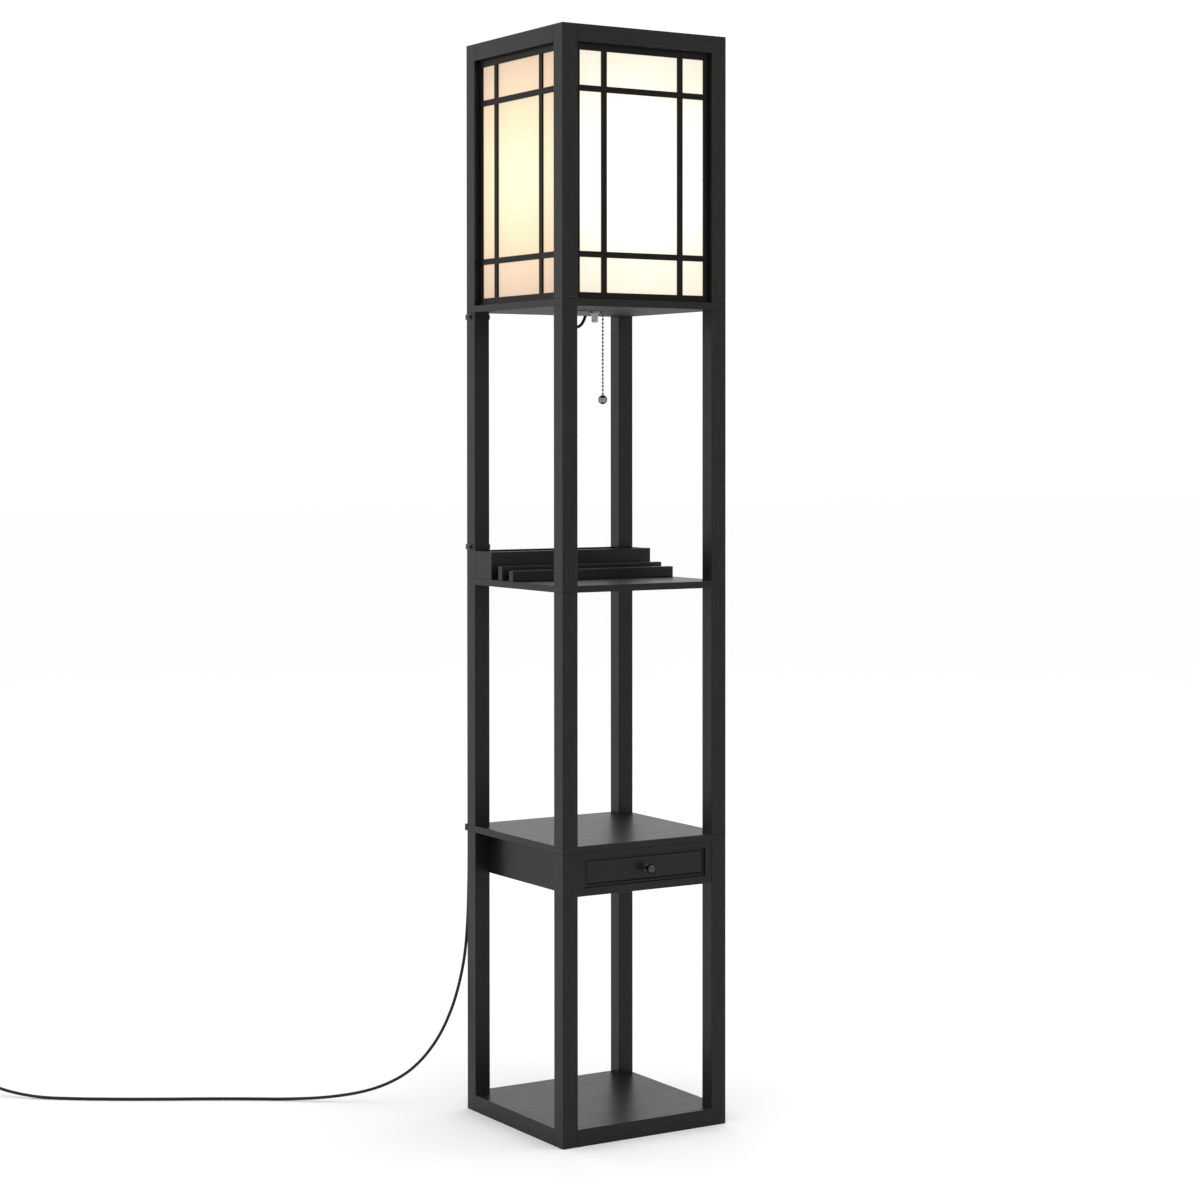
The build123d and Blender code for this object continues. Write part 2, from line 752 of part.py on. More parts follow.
with BuildPart(Plane.XY.offset(lantern_floor)) as lampholder_cap:
    Cylinder(holder_diameter / 2, holder_cap_height, align=upright)
    fillet(lampholder_cap.edges().group_by(Axis.Z)[0], holder_round)
    with Locations((0, 0, holder_wall)):
        Cylinder(holder_diameter / 2 - holder_wall, holder_cap_height, align=upright, mode=Mode.SUBTRACT)
    Cylinder((nipple_diameter + nipple_play) / 2, holder_wall, align=upright, mode=Mode.SUBTRACT)
    with Locations((chain_offset, 0, 0)):
        Cylinder(guide_hole / 2, holder_wall, align=upright, mode=Mode.SUBTRACT)
    with Locations((-cord_inlet_offset, 0, 0)):
        Cylinder((cord_diameter + cord_play) / 2, holder_wall, align=upright, mode=Mode.SUBTRACT)
save(lampholder_cap, "lampholder_cap")

holder_joint_z = lantern_floor + holder_cap_height
with BuildPart(Plane.XY.offset(holder_joint_z - switch_height)) as switch_body:
    Cylinder(holder_diameter / 2 - holder_wall - switch_play, switch_height, align=upright)
    chamfer(switch_body.edges(), switch_chamfer)
save(switch_body, "switch_body")

with BuildPart(Plane.XY.offset(holder_joint_z)) as lampholder_shell:
    Cylinder(holder_shell_diameter / 2, holder_shell_height, align=upright)
    with Locations((0, 0, holder_shell_floor)):
        Cylinder(holder_bore_diameter / 2, holder_shell_height, align=upright, mode=Mode.SUBTRACT)
    fillet(lampholder_shell.edges().group_by(Axis.Z)[-1], holder_round)
save(lampholder_shell, "lampholder_shell")

bulb_z = holder_joint_z + holder_shell_floor
with BuildPart(Plane.XY.offset(bulb_z)) as bulb_screw_cap:
    Cylinder(bulb_cap_diameter / 2, bulb_cap_height, align=upright)
    chamfer(bulb_screw_cap.edges().group_by(Axis.Z)[0], bulb_cap_chamfer)
save(bulb_screw_cap, "bulb_screw_cap")

glass_z = bulb_z + bulb_cap_height
with BuildPart() as bulb_globe:
    with BuildSketch(Plane.XZ):
        with BuildLine():
            Line((0, glass_z), (bulb_neck_diameter / 2, glass_z))
            Spline(
                (bulb_neck_diameter / 2, glass_z),
                (bulb_diameter / 2, glass_z + bulb_centre_rise),
                tangents=[(0.15, 1), (0, 1)],
            )
            CenterArc((0, glass_z + bulb_centre_rise), bulb_diameter / 2, 0, 90)
            Line((0, glass_z + bulb_centre_rise + bulb_diameter / 2), (0, glass_z))
        make_face()
    revolve(axis=Axis.Z)
    with Locations((0, 0, glass_z + bulb_centre_rise)):
        Sphere(bulb_diameter / 2 - bulb_glass, mode=Mode.SUBTRACT)
save(bulb_globe, "bulb_globe")

# ---- Pull chain: a guide through the board, a rod that slides in it and two lengths of bead chain 
guide_bottom = lantern_board_z - guide_below
guide_top = lantern_floor + guide_above
with BuildPart(Plane((chain_offset, 0, guide_bottom))) as chain_guide:
    Cylinder(guide_diameter / 2, guide_top - guide_bottom, align=upright)
    with Locations((0, 0, guide_below - guide_flange_height)):
        Cylinder(guide_flange_diameter / 2, guide_flange_height, align=upright)
    Cylinder(guide_bore / 2, guide_top - guide_bottom, align=upright, mode=Mode.SUBTRACT)
save(chain_guide, "chain_guide")

pull_joint_z = guide_bottom - pull_rod_below
stop_z = guide_top + pull_travel + touch_gap
with BuildPart(Plane((chain_offset, 0, pull_joint_z + chain_joint_gap))) as pull_rod:
    rod_length = stop_z + pull_stop_height - pull_joint_z - chain_joint_gap
    Cylinder(pull_rod_diameter / 2, rod_length, align=upright)
    with Locations((0, 0, rod_length - pull_stop_height)):
        Cylinder(pull_stop_diameter / 2, pull_stop_height, align=upright)
save(pull_rod, "pull_rod")


def bead_chain(top):
    """A length of bead chain hanging down from this height: balls on a wire."""
    first = top - bead_diameter / 2
    last = first - (beads_per_length - 1) * bead_pitch
    with BuildPart(Plane((chain_offset, 0, last))) as chain:
        Cylinder(bead_wire_diameter / 2, first - last, align=upright)
        with Locations(*[(0, 0, bead_pitch * bead) for bead in range(beads_per_length)]):
            Sphere(bead_diameter / 2)
    return chain


chain_length = (beads_per_length - 1) * bead_pitch + bead_diameter
lower_chain_top = pull_joint_z - chain_length - chain_joint_gap
chain_bottom = lower_chain_top - chain_length
save(bead_chain(pull_joint_z), "pull_chain_upper")
save(bead_chain(lower_chain_top), "pull_chain_lower")

with BuildPart(Plane((chain_offset, 0, chain_bottom - pull_ball_diameter / 2))) as pull_ball:
    Sphere(pull_ball_diameter / 2)
save(pull_ball, "pull_ball")

# ---- The lead from the lampholder to the lowest clip ---------------------------------------------
lead_run_z = lantern_floor + cord_diameter / 2 + cord_play
loop_bottom = lantern_board_z - cord_loop_drop
lamp_cord_points = [
    (-cord_inlet_offset, 0, holder_joint_z - switch_height),
    (-cord_inlet_offset, 0, loop_bottom),
    (-cord_return_offset, 0, loop_bottom),
    (-cord_return_offset, 0, lantern_floor + cord_first_rise),
    (cord_down_x + cord_wall_turn_x, cord_wall_turn_y, lantern_floor + cord_second_rise),
    (cord_down_x, inner_y - cord_wall_reach, lead_run_z),
    (cord_down_x, cord_down_y, lead_run_z),
    (cord_down_x, cord_down_y, clip_levels[0] - cord_lean_drop),
    (cord_low_x, cord_low_y, low_clip_z + cord_lean_drop),
    (cord_low_x, cord_low_y, low_clip_z),
]
lamp_cord = cord_tube(lamp_cord_points, "lamp_cord", largest_radius=cord_lean_radius)
save(lamp_cord, "lamp_cord")

with BuildPart() as cord_clamp:
    with BuildSketch(Plane.XY.offset(lantern_board_z - clamp_height)):
        with Locations((-(cord_inlet_offset + cord_diameter / 2 + clamp_play + clamp_length / 2), 0)):
            Rectangle(clamp_length, clamp_width)
    extrude(amount=clamp_height)
    fillet(cord_clamp.edges().filter_by(Axis.Z), clamp_corner)
    fillet(cord_clamp.edges().group_by(Axis.Z)[0], clamp_round)
save(cord_clamp, "cord_clamp")

with BuildPart(Plane((-cord_return_offset, 0, lantern_board_z - grommet_flange_height))) as cord_grommet:
    grommet_length = board_thickness + 2 * grommet_flange_height
    Cylinder(grommet_hole / 2, grommet_length, align=upright)
    for level in (0, board_thickness + grommet_flange_height):
        with Locations((0, 0, level)):
            Cylinder(grommet_flange_diameter / 2, grommet_flange_height, align=upright)
    Cylinder((cord_diameter + cord_play) / 2, grommet_length, align=upright, mode=Mode.SUBTRACT)
save(cord_grommet, "cord_grommet")

# ---- Two clips round the back left post, and the lowest one screwed to the back edge of a shelf ---
strap_left = -half_width - clip_play - clip_thickness
strap_back = half_depth + clip_play + clip_thickness
ring_inner = cord_diameter / 2 + clip_play
ring_outer = ring_inner + clip_thickness


def bore_straps(screws):
    """Bore the open clips where their screws pass."""
    for origin, way in screws:
        with BuildSketch(Plane(origin=origin, z_dir=way)) as bore:
            Circle(clip_screw_diameter / 2 + clip_play)
        extrude(bore.sketch, amount=clip_play + clip_thickness, mode=Mode.SUBTRACT)


with BuildPart() as cord_clips:
    for level in clip_levels:
        with BuildSketch(Plane.XY.offset(level - clip_width / 2)):
            with Locations((strap_left, half_depth - clip_left_reach)):
                Rectangle(
                    clip_thickness,
                    strap_back - half_depth + clip_left_reach,
                    align=(Align.MIN, Align.MIN),
                )
            with Locations((strap_left, strap_back)):
                Rectangle(-inner_x - strap_left, clip_thickness, align=(Align.MIN, Align.MAX))
            with Locations((-inner_x + clip_play, half_depth - clip_right_reach)):
                Rectangle(clip_thickness, clip_right_reach, align=(Align.MIN, Align.MIN))
            with Locations((cord_down_x, cord_down_y)):
                Circle(ring_outer)
                Circle(ring_inner, mode=Mode.SUBTRACT)
        extrude(amount=clip_width)
        bore_straps(post_clip_screws(level))
    with BuildSketch(Plane.XY.offset(low_clip_z - low_clip_width / 2)):
        with Locations((cord_low_x, strap_back)):
            Rectangle(low_clip_tab, clip_thickness, align=(Align.MIN, Align.MAX))
        with Locations((cord_low_x, cord_low_y)):
            SlotCenterToCenter(low_clip_spread, 2 * ring_outer)
            Circle(ring_inner, mode=Mode.SUBTRACT)
    extrude(amount=low_clip_width)
    bore_straps(low_clip_screws())
save(cord_clips, "cord_clips")

with BuildPart() as clip_screws:
    for origin, way in upper_screws + low_clip_screws():
        face = Plane(origin=origin, z_dir=way)
        with BuildSketch(face.offset(clip_play + clip_thickness)) as head:
            Circle(clip_screw_head_diameter / 2)
        extrude(head.sketch, amount=clip_screw_head_height, taper=clip_screw_head_taper)
        with BuildSketch(face.offset(clip_play + clip_thickness)) as shank:
            Circle(clip_screw_diameter / 2)
        extrude(shank.sketch, amount=-(clip_play + clip_thickness + clip_screw_reach - touch_gap))
save(clip_screws, "clip_screws")

# ---- The free lead: down behind the post, in a bow to the floor and away to the left -------------
# Each bend is given from the lowest clip, and the last ones rise to the top turn of the coil.
coil_height = coil_turns * coil_turn_pitch + cord_diameter
top_turn_z = coil_lift + coil_height - cord_diameter / 2
free_run = [
    (-0.5, 0.6, 330.0),
    (-1.5, 1.9, 280.0),
    (-4.5, 4.9, 230.0),
    (-10.7, 11.1, 187.0),
    (-19.0, 19.8, 147.0),
    (-34.0, 35.2, 101.0),
    (-56.4, 58.4, 60.0),
    (-82.0, 82.6, 34.0),
    (-119.0, 109.6, 16.0),
    (-168.0, 144.6, 6.0),
    (-218.0, 181.6, 2.4),
    (-270.0, 217.6, 2.4),
    (-325.0, 251.6, 2.4),
    (-381.0, 283.6, 2.4),
    (-436.0, 317.6, 2.4),
    (-489.0, 353.6, 2.4),
    (-539.0, 394.6, 2.4),
    (-580.0, 443.6, 10.0),
    (-609.0, 493.6, top_turn_z),
]
power_cord_points = [
    (cord_low_x, cord_low_y, low_clip_z),
    (cord_low_x, cord_low_y, low_clip_z - free_run_straight),
]
power_cord_points += [(cord_low_x + x, cord_low_y + y, z) for x, y, z in free_run]
power_cord = cord_tube(power_cord_points, "power_cord")
save(power_cord, "power_cord")

# The coil turns to the left of the lead's last run, which meets it along a tangent.
last_point = power_cord_points[-1]
before_last = power_cord_points[-2]
run_angle = math.atan2(last_point[1] - before_last[1], last_point[0] - before_last[0])
coil_radius = coil_turn_diameter / 2
coil_outer = coil_radius + cord_diameter / 2
coil_inner = coil_radius - cord_diameter / 2
tangent_reach = math.sqrt((coil_outer + touch_gap) ** 2 - coil_inner**2)
run_way = (math.cos(run_angle), math.sin(run_angle))
left_way = (-run_way[1], run_way[0])
coil_x = last_point[0] + tangent_reach * run_way[0] + coil_radius * left_way[0]
coil_y = last_point[1] + tangent_reach * run_way[1] + coil_radius * left_way[1]
with BuildPart() as cord_coil:
    with BuildSketch(Plane.XY.offset(coil_lift)):
        with Locations((coil_x, coil_y)):
            Circle(coil_outer)
            Circle(coil_inner, mode=Mode.SUBTRACT)
    extrude(amount=coil_height)
save(cord_coil, "cord_coil")

# The tie goes round the bundle on the side away from the incoming lead.
tie_angle = run_angle + math.pi / 2 + tie_turn
tie_place = Plane(
    origin=(
        coil_x + coil_radius * math.cos(tie_angle),
        coil_y + coil_radius * math.sin(tie_angle),
        coil_lift + coil_height / 2,
    ),
    x_dir=(math.cos(tie_angle), math.sin(tie_angle), 0),
    z_dir=(-math.sin(tie_angle), math.cos(tie_angle), 0),
)
with BuildPart() as cord_tie:
    with BuildSketch(tie_place):
        Rectangle(
            cord_diameter + 2 * (tie_side_play + tie_thickness),
            coil_height + 2 * (tie_play + tie_thickness),
        )
        Rectangle(cord_diameter + 2 * tie_side_play, coil_height + 2 * tie_play, mode=Mode.SUBTRACT)
    extrude(amount=tie_width / 2, both=True)
save(cord_tie, "cord_tie")

# ---- Plug, lying beside the coil where the lowest turn leaves it ---------------------------------
plug_angle = run_angle + math.pi
plug_reach = math.sqrt((coil_outer + touch_gap) ** 2 - (coil_radius - boot_small_diameter / 2) ** 2)
plug_way = (math.cos(plug_angle), math.sin(plug_angle))
plug_start = (
    coil_x + coil_radius * left_way[0] + plug_reach * plug_way[0],
    coil_y + coil_radius * left_way[1] + plug_reach * plug_way[1],
    plug_height / 2,
)
plug_axis = Axis(plug_start, (plug_way[0], plug_way[1], 0))
plug_place = Plane(origin=plug_start, x_dir=(-plug_way[1], plug_way[0], 0), z_dir=plug_axis.direction)
with BuildPart(plug_place) as plug_body:
    with BuildSketch(plug_place):
        Circle(boot_small_diameter / 2)
    with BuildSketch(plug_place.offset(boot_length)):
        Circle(boot_large_diameter / 2)
    loft()
    with BuildSketch(plug_place.offset(boot_length)):
        RectangleRounded(plug_width, plug_height, plug_corner)
    extrude(amount=plug_length)
    plug_face = plug_body.faces().filter_by(GeomType.PLANE).sort_by(plug_axis)[-1]
    fillet(plug_face.edges(), plug_end_round)
    with BuildSketch(plug_place.offset(boot_length + plug_length - blade_root)):
        with Locations((-blade_spacing / 2, 0), (blade_spacing / 2, 0)):
            Rectangle(blade_thickness, blade_width)
    extrude(amount=blade_root, mode=Mode.SUBTRACT)
save(plug_body, "plug_body")

with BuildPart() as plug_blades:
    with BuildSketch(plug_place.offset(boot_length + plug_length - blade_root)):
        with Locations((-blade_spacing / 2, 0), (blade_spacing / 2, 0)):
            Rectangle(blade_thickness, blade_width)
    extrude(amount=blade_root + blade_length)
    fillet(plug_blades.edges().group_by(plug_axis)[-1], blade_round)
save(plug_blades, "plug_blades")

print("coil middle", round(coil_x, 1), round(coil_y, 1), "plug start", [round(v, 1) for v in plug_start])
print("lamp top", lamp_top, "pull joint", pull_joint_z, "lower chain top", lower_chain_top)
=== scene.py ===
"""Looks of the shelf floor lamp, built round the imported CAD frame.

Every length is in metres in the CAD frame: +Z up, the front towards -Y, the origin on the floor in the
middle of the footprint. Sizes named ``_mm`` are real sizes in millimetres.
"""

import logging
import math
from dataclasses import dataclass
from enum import Enum

import bmesh
import bpy
from mathutils import Matrix, Vector


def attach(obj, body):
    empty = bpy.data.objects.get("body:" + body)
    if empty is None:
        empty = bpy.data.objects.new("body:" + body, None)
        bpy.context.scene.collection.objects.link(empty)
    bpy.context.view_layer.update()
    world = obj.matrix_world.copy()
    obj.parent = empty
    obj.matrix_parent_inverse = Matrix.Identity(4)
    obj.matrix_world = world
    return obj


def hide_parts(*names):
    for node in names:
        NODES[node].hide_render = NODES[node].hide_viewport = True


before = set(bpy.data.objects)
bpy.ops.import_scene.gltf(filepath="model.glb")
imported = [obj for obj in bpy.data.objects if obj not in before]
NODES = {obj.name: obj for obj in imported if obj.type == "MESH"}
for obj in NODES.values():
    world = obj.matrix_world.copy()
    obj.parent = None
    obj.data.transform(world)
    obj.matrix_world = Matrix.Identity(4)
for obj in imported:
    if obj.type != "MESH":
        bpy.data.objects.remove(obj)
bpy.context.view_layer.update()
LOG = logging.getLogger("shelf_floor_lamp")
MM = 0.001

Material, Object = bpy.types.Material, bpy.types.Object
Tree, Node, Socket = bpy.types.NodeTree, bpy.types.Node, bpy.types.NodeSocket
Shape, Face, Edge, Corner = bmesh.types.BMesh, bmesh.types.BMFace, bmesh.types.BMEdge, bmesh.types.BMVert
Point = tuple[float, float, float]
Profile = list[tuple[float, float]]
FixedProfile = tuple[tuple[float, float], ...]
Stops = tuple[tuple[float, str], ...]
Look = tuple[dict[str, object], dict[str, Socket]]
NodeLooks = list[tuple[Material, list[str]]]


class Grain(Enum):
    """Which way the grain of a wooden piece runs, with the turn that lays the pattern's Y along it."""

    ALONG_X = ("x", (0.0, 0.0, math.pi / 2))
    ALONG_Y = ("y", (0.0, 0.0, 0.0))
    ALONG_Z = ("z", (math.pi / 2, 0.0, 0.0))
    ROUND_THE_SQUARE = ("round", (0.0, 0.0, 0.0))

    @property
    def turn(self) -> Point:
        """The pattern's turn, as Euler angles."""
        return self.value[1]


def linear(hex_colour: str) -> tuple[float, float, float, float]:
    """Turn an sRGB hex colour to linear light.

    Args:
        hex_colour: Six hex digits.

    Returns:
        Red, green, blue and an alpha of one.
    """
    channels = [int(hex_colour[at : at + 2], 16) / 255 for at in (0, 2, 4)]
    light = [c / 12.92 if c <= 0.04045 else ((c + 0.055) / 1.055) ** 2.4 for c in channels]
    return (light[0], light[1], light[2], 1.0)


def per_metre(size_mm: float) -> float:
    """Turn a pattern's real size to its scale.

    Args:
        size_mm: How wide one cell of the pattern is, in millimetres.

    Returns:
        The scale that makes it so in a space of metres.
    """
    return 1.0 / (size_mm * MM)


def add_node(
    tree: Tree,
    kind: str,
    settings: dict[str | int, object] | None = None,
    links: dict[str | int, Socket] | None = None,
) -> Node:
    """Add a node with its settings and links.

    Args:
        tree: The node tree to add to.
        kind: The shader node's type name, without its common start.
        settings: Attributes of the node, values of its input sockets by name or index, or a ramp's
            ``stops``, which are places from 0 to 1 with sRGB hex colours.
        links: Output sockets to join, by the input's name or index.

    Returns:
        The new node.
    """
    node = tree.nodes.new("ShaderNode" + kind)
    for name, value in (settings or {}).items():
        if name == "stops":
            elements = node.color_ramp.elements
            while len(elements) < len(value):
                elements.new(0.5)
            for element, (place, colour) in zip(elements, value):
                element.position = place
                element.color = linear(colour)
        elif isinstance(name, str) and hasattr(node, name):
            setattr(node, name, value)
        else:
            node.inputs[name].default_value = value
    for name, socket in (links or {}).items():
        tree.links.new(socket, node.inputs[name])
    return node


def relief(
    tree: Tree,
    pattern: Socket,
    roughness: tuple[float, float],
    strength: float,
    depth_mm: float,
    span: tuple[float, float] = (0.0, 1.0),
) -> dict[str, Socket]:
    """Let one pattern set both the roughness and the height of a surface.

    Args:
        tree: The node tree to add to.
        pattern: The pattern's factor.
        roughness: The roughness at both ends of the span.
        strength: How much of the height shows.
        depth_mm: The pattern's height, in millimetres.
        span: The factors between which the roughness changes.

    Returns:
        Sockets for the shader's Roughness and Normal.
    """
    gloss = add_node(
        tree,
        "MapRange",
        {"From Min": span[0], "From Max": span[1], "To Min": roughness[0], "To Max": roughness[1]},
        {"Value": pattern},
    )
    bump = add_node(tree, "Bump", {"Strength": strength, "Distance": depth_mm * MM}, {"Height": pattern})
    return {"Roughness": gloss.outputs["Result"], "Normal": bump.outputs["Normal"]}


def further_along(tree: Tree, parts: Node, axis: str, other: str) -> Socket:
    """Mask of the points that lie further out along one axis than along another.

    Args:
        tree: The node tree to add to.
        parts: The separated object coordinates.
        axis: The axis along which the points lie further out.
        other: The axis that it is held against.

    Returns:
        One at such points and zero elsewhere.
    """
    sizes = [
        add_node(tree, "Math", {"operation": "ABSOLUTE"}, {0: parts.outputs[name]}).outputs[0]
        for name in (axis, other)
    ]
    return add_node(tree, "Math", {"operation": "GREATER_THAN"}, {0: sizes[0], 1: sizes[1]}).outputs[0]


@dataclass(frozen=True)
class Finish:
    """A material worked out from object coordinates: the part that every finish shares."""

    name: str

    def make(self) -> Material:
        """Build the material.

        Returns:
            The finished material.
        """
        material = bpy.data.materials.new(self.name)
        material.use_nodes = True
        tree = material.node_tree
        tree.nodes.clear()
        place = add_node(tree, "TexCoord").outputs["Object"]
        shader = add_node(tree, "BsdfPrincipled", *self.look(tree, place))
        add_node(tree, "OutputMaterial", links={"Surface": shader.outputs["BSDF"]})
        return material

    def look(self, tree: Tree, place: Socket) -> Look:
        """Say what goes into the Principled shader.

        Args:
            tree: The material's node tree.
            place: Object coordinates.

        Returns:
            The shader's constant inputs, and the sockets joined to its other inputs.
        """
        raise NotImplementedError


@dataclass(frozen=True)
class SatinBlackLacquer(Finish):
    """Sprayed satin black lacquer over planed wood and fibreboard.

    The eye gets a near-black with long faint pores along the grain, a soft orange peel and a satin
    gloss that turns grey where it is seen at a low angle.
    """

    grain: Grain
    body_colour: str = "121111"
    pore_colour: str = "1b1a19"
    roughness_low: float = 0.29
    roughness_high: float = 0.41
    specular_level: float = 0.20
    underside_roughness: float = 0.60
    # Real pores are about 0.3 mm wide. They are drawn coarser, since a pixel covers 1.4 mm.
    pore_width_mm: float = 1.6
    pore_length_mm: float = 42.0
    pore_bump: float = 0.10
    pore_depth_mm: float = 0.25
    peel_mm: float = 2.2
    peel_bump: float = 0.05
    peel_depth_mm: float = 0.2

    def look(self, tree: Tree, place: Socket) -> Look:
        """Lay pores along the grain, a soft orange peel over them and a dry coat underneath."""
        pores = add_node(
            tree,
            "TexNoise",
            {"Scale": 1.0, "Detail": 4.0, "Roughness": 0.62, "Distortion": 0.25},
            {"Vector": self._grain_space(tree, place)},
        ).outputs["Fac"]
        peel = add_node(
            tree,
            "TexNoise",
            {"Scale": per_metre(self.peel_mm), "Detail": 2.0, "Roughness": 0.5},
            {"Vector": place},
        ).outputs["Fac"]
        stops = ((0.42, self.body_colour), (0.66, self.pore_colour))
        colour = add_node(tree, "ValToRGB", {"stops": stops}, {"Fac": pores})
        gloss = (self.roughness_low, self.roughness_high)
        surface = relief(tree, pores, gloss, self.pore_bump, self.pore_depth_mm, (0.3, 0.7))
        peel_bump = add_node(
            tree,
            "Bump",
            {"Strength": self.peel_bump, "Distance": self.peel_depth_mm * MM},
            {"Height": peel, "Normal": surface["Normal"]},
        )
        return {"Specular IOR Level": self.specular_level}, {
            "Base Color": colour.outputs["Color"],
            "Roughness": self._rougher_below(tree, surface["Roughness"]),
            "Normal": peel_bump.outputs["Normal"],
        }

    def _rougher_below(self, tree: Tree, gloss: Socket) -> Socket:
        """Leave faces that look down with the dry mist coat they get, which is rougher.

        Args:
            tree: The node tree to add to.
            gloss: The roughness of the other faces.

        Returns:
            The roughness of every face.
        """
        normal = add_node(tree, "TexCoord").outputs["Normal"]
        height = add_node(tree, "SeparateXYZ", links={"Vector": normal}).outputs["Z"]
        looks_down = add_node(tree, "Math", {"operation": "LESS_THAN", 1: -0.7}, {0: height}).outputs[0]
        return add_node(
            tree,
            "Mix",
            {"data_type": "FLOAT", 3: self.underside_roughness},
            {"Factor": looks_down, 2: gloss},
        ).outputs[0]

    def _grain_space(self, tree: Tree, place: Socket) -> Socket:
        """Coordinates whose Y runs along the grain, in pores.

        Args:
            tree: The node tree to add to.
            place: Object coordinates.

        Returns:
            The coordinates to give to the pore noise.
        """
        along = place
        if self.grain is Grain.ROUND_THE_SQUARE:
            along = self._follow_the_nearer_side(tree, place)
        width, length = self.pore_width_mm * MM, self.pore_length_mm * MM
        return add_node(
            tree,
            "Mapping",
            {"vector_type": "TEXTURE", "Rotation": self.grain.turn, "Scale": (width, length, width)},
            {"Vector": along},
        ).outputs["Vector"]

    @staticmethod
    def _follow_the_nearer_side(tree: Tree, place: Socket) -> Socket:
        """Swap X and Y on the front and back sides, so the grain follows each rail of a square.

        Args:
            tree: The node tree to add to.
            place: Object coordinates.

        Returns:
            The swapped coordinates.
        """
        parts = add_node(tree, "SeparateXYZ", links={"Vector": place})
        swapped = add_node(
            tree,
            "CombineXYZ",
            links={"X": parts.outputs["Y"], "Y": parts.outputs["X"], "Z": parts.outputs["Z"]},
        )
        return add_node(
            tree,
            "Mix",
            {"data_type": "VECTOR"},
            {"Factor": further_along(tree, parts, "Y", "X"), 4: place, 5: swapped.outputs["Vector"]},
        ).outputs[1]


@dataclass(frozen=True)
class LitPaperFilm(Finish):
    """Laminated paper-look film, lit from behind by one bulb.

    The eye gets a white-hot middle that warms to cream and then peach away from the bulb, with faint
    cloudy fibres. The glow is painted light: emission that stands in for the bulb shining through the
    film, falling off from the spot nearest the bulb. The two side sheets get a painted glow that is
    warmer and dimmer than the front and the back.
    """

    name: str = "laminated_paper_film_lit"
    bulb_height: float = 1.345
    lift: float = 0.05
    reach_across: float = 0.24
    reach_up: float = 0.215
    fibre_mm: float = 3.0
    fibre_depth_mm: float = 0.1
    cloud_mm: float = 38.0
    cloud_share: float = 0.10
    # Painted light: the side sheets glow with less strength than the front and the back.
    strength_front: float = 0.98
    strength_side: float = 0.80
    unlit_colour: str = "7C705C"
    front_stops: Stops = (
        (0.0, "FFFFFF"), (0.45, "FFFFF6"), (0.64, "F1EEE0"), (0.85, "E9E1D2"), (1.0, "D9D0C0"),
    )
    side_stops: Stops = (
        (0.0, "FFFFE2"), (0.20, "FFFEDA"), (0.32, "FFF9D0"), (0.44, "FEEFC8"),
        (0.58, "FDE0BE"), (0.68, "F6D6B9"), (0.82, "E6C8B0"), (1.0, "D4BAA2"),
    )

    def look(self, tree: Tree, place: Socket) -> Look:
        """Let the glow fall off from the spot nearest the bulb, with clouds in it."""
        parts = add_node(tree, "SeparateXYZ", links={"Vector": place})
        is_side = further_along(tree, parts, "X", "Y")
        clouds = add_node(
            tree,
            "TexNoise",
            {"Scale": per_metre(self.cloud_mm), "Detail": 3.0, "Roughness": 0.55},
            {"Vector": place},
        ).outputs["Fac"]
        cloudy = add_node(
            tree,
            "Math",
            {"operation": "MULTIPLY_ADD", 1: self.cloud_share, 2: -self.cloud_share / 2},
            {0: clouds},
        ).outputs[0]
        factor = add_node(
            tree,
            "Math",
            {"operation": "ADD"},
            {0: self._distance_on_sheet(tree, parts, is_side), 1: cloudy},
        ).outputs[0]
        # Painted light: the side sheets get their own warmer ramp than the front and the back.
        front, side = (
            add_node(tree, "ValToRGB", {"stops": stops}, {"Fac": factor}).outputs["Color"]
            for stops in (self.front_stops, self.side_stops)
        )
        warm = add_node(
            tree, "Mix", {"data_type": "RGBA"}, {"Factor": is_side, 6: front, 7: side}
        ).outputs[2]
        glow = add_node(
            tree,
            "MapRange",
            {"To Min": self.strength_front, "To Max": self.strength_side},
            {"Value": is_side},
        ).outputs["Result"]
        fibres = add_node(
            tree,
            "TexNoise",
            {"Scale": per_metre(self.fibre_mm), "Detail": 3.0, "Roughness": 0.6, "Distortion": 1.2},
            {"Vector": place},
        ).outputs["Fac"]
        bump = add_node(
            tree, "Bump", {"Strength": 0.15, "Distance": self.fibre_depth_mm * MM}, {"Height": fibres}
        ).outputs["Normal"]
        return {
            "Base Color": linear(self.unlit_colour),
            "Roughness": 0.55,
            "Specular IOR Level": 0.3,
        }, {"Emission Color": warm, "Emission Strength": glow, "Normal": bump}

    def _distance_on_sheet(self, tree: Tree, parts: Node, is_side: Socket) -> Socket:
        """How far a point of a sheet is from the spot nearest the bulb, from 0 to 1.

        Args:
            tree: The node tree to add to.
            parts: The separated object coordinates.
            is_side: The mask of the side sheets.

        Returns:
            The distance, as a share of the glow's reach.
        """
        across = add_node(
            tree,
            "Mix",
            {"data_type": "FLOAT"},
            {"Factor": is_side, 2: parts.outputs["X"], 3: parts.outputs["Y"]},
        ).outputs[0]
        up = add_node(
            tree,
            "Math",
            {"operation": "SUBTRACT", 1: self.bulb_height + self.lift},
            {0: parts.outputs["Z"]},
        ).outputs[0]
        wide, tall = (
            add_node(tree, "Math", {"operation": "MULTIPLY", 1: 1 / reach}, {0: way}).outputs[0]
            for reach, way in ((self.reach_across, across), (self.reach_up, up))
        )
        both = add_node(tree, "CombineXYZ", links={"X": wide, "Y": tall}).outputs["Vector"]
        return add_node(tree, "VectorMath", {"operation": "LENGTH"}, {0: both}).outputs["Value"]


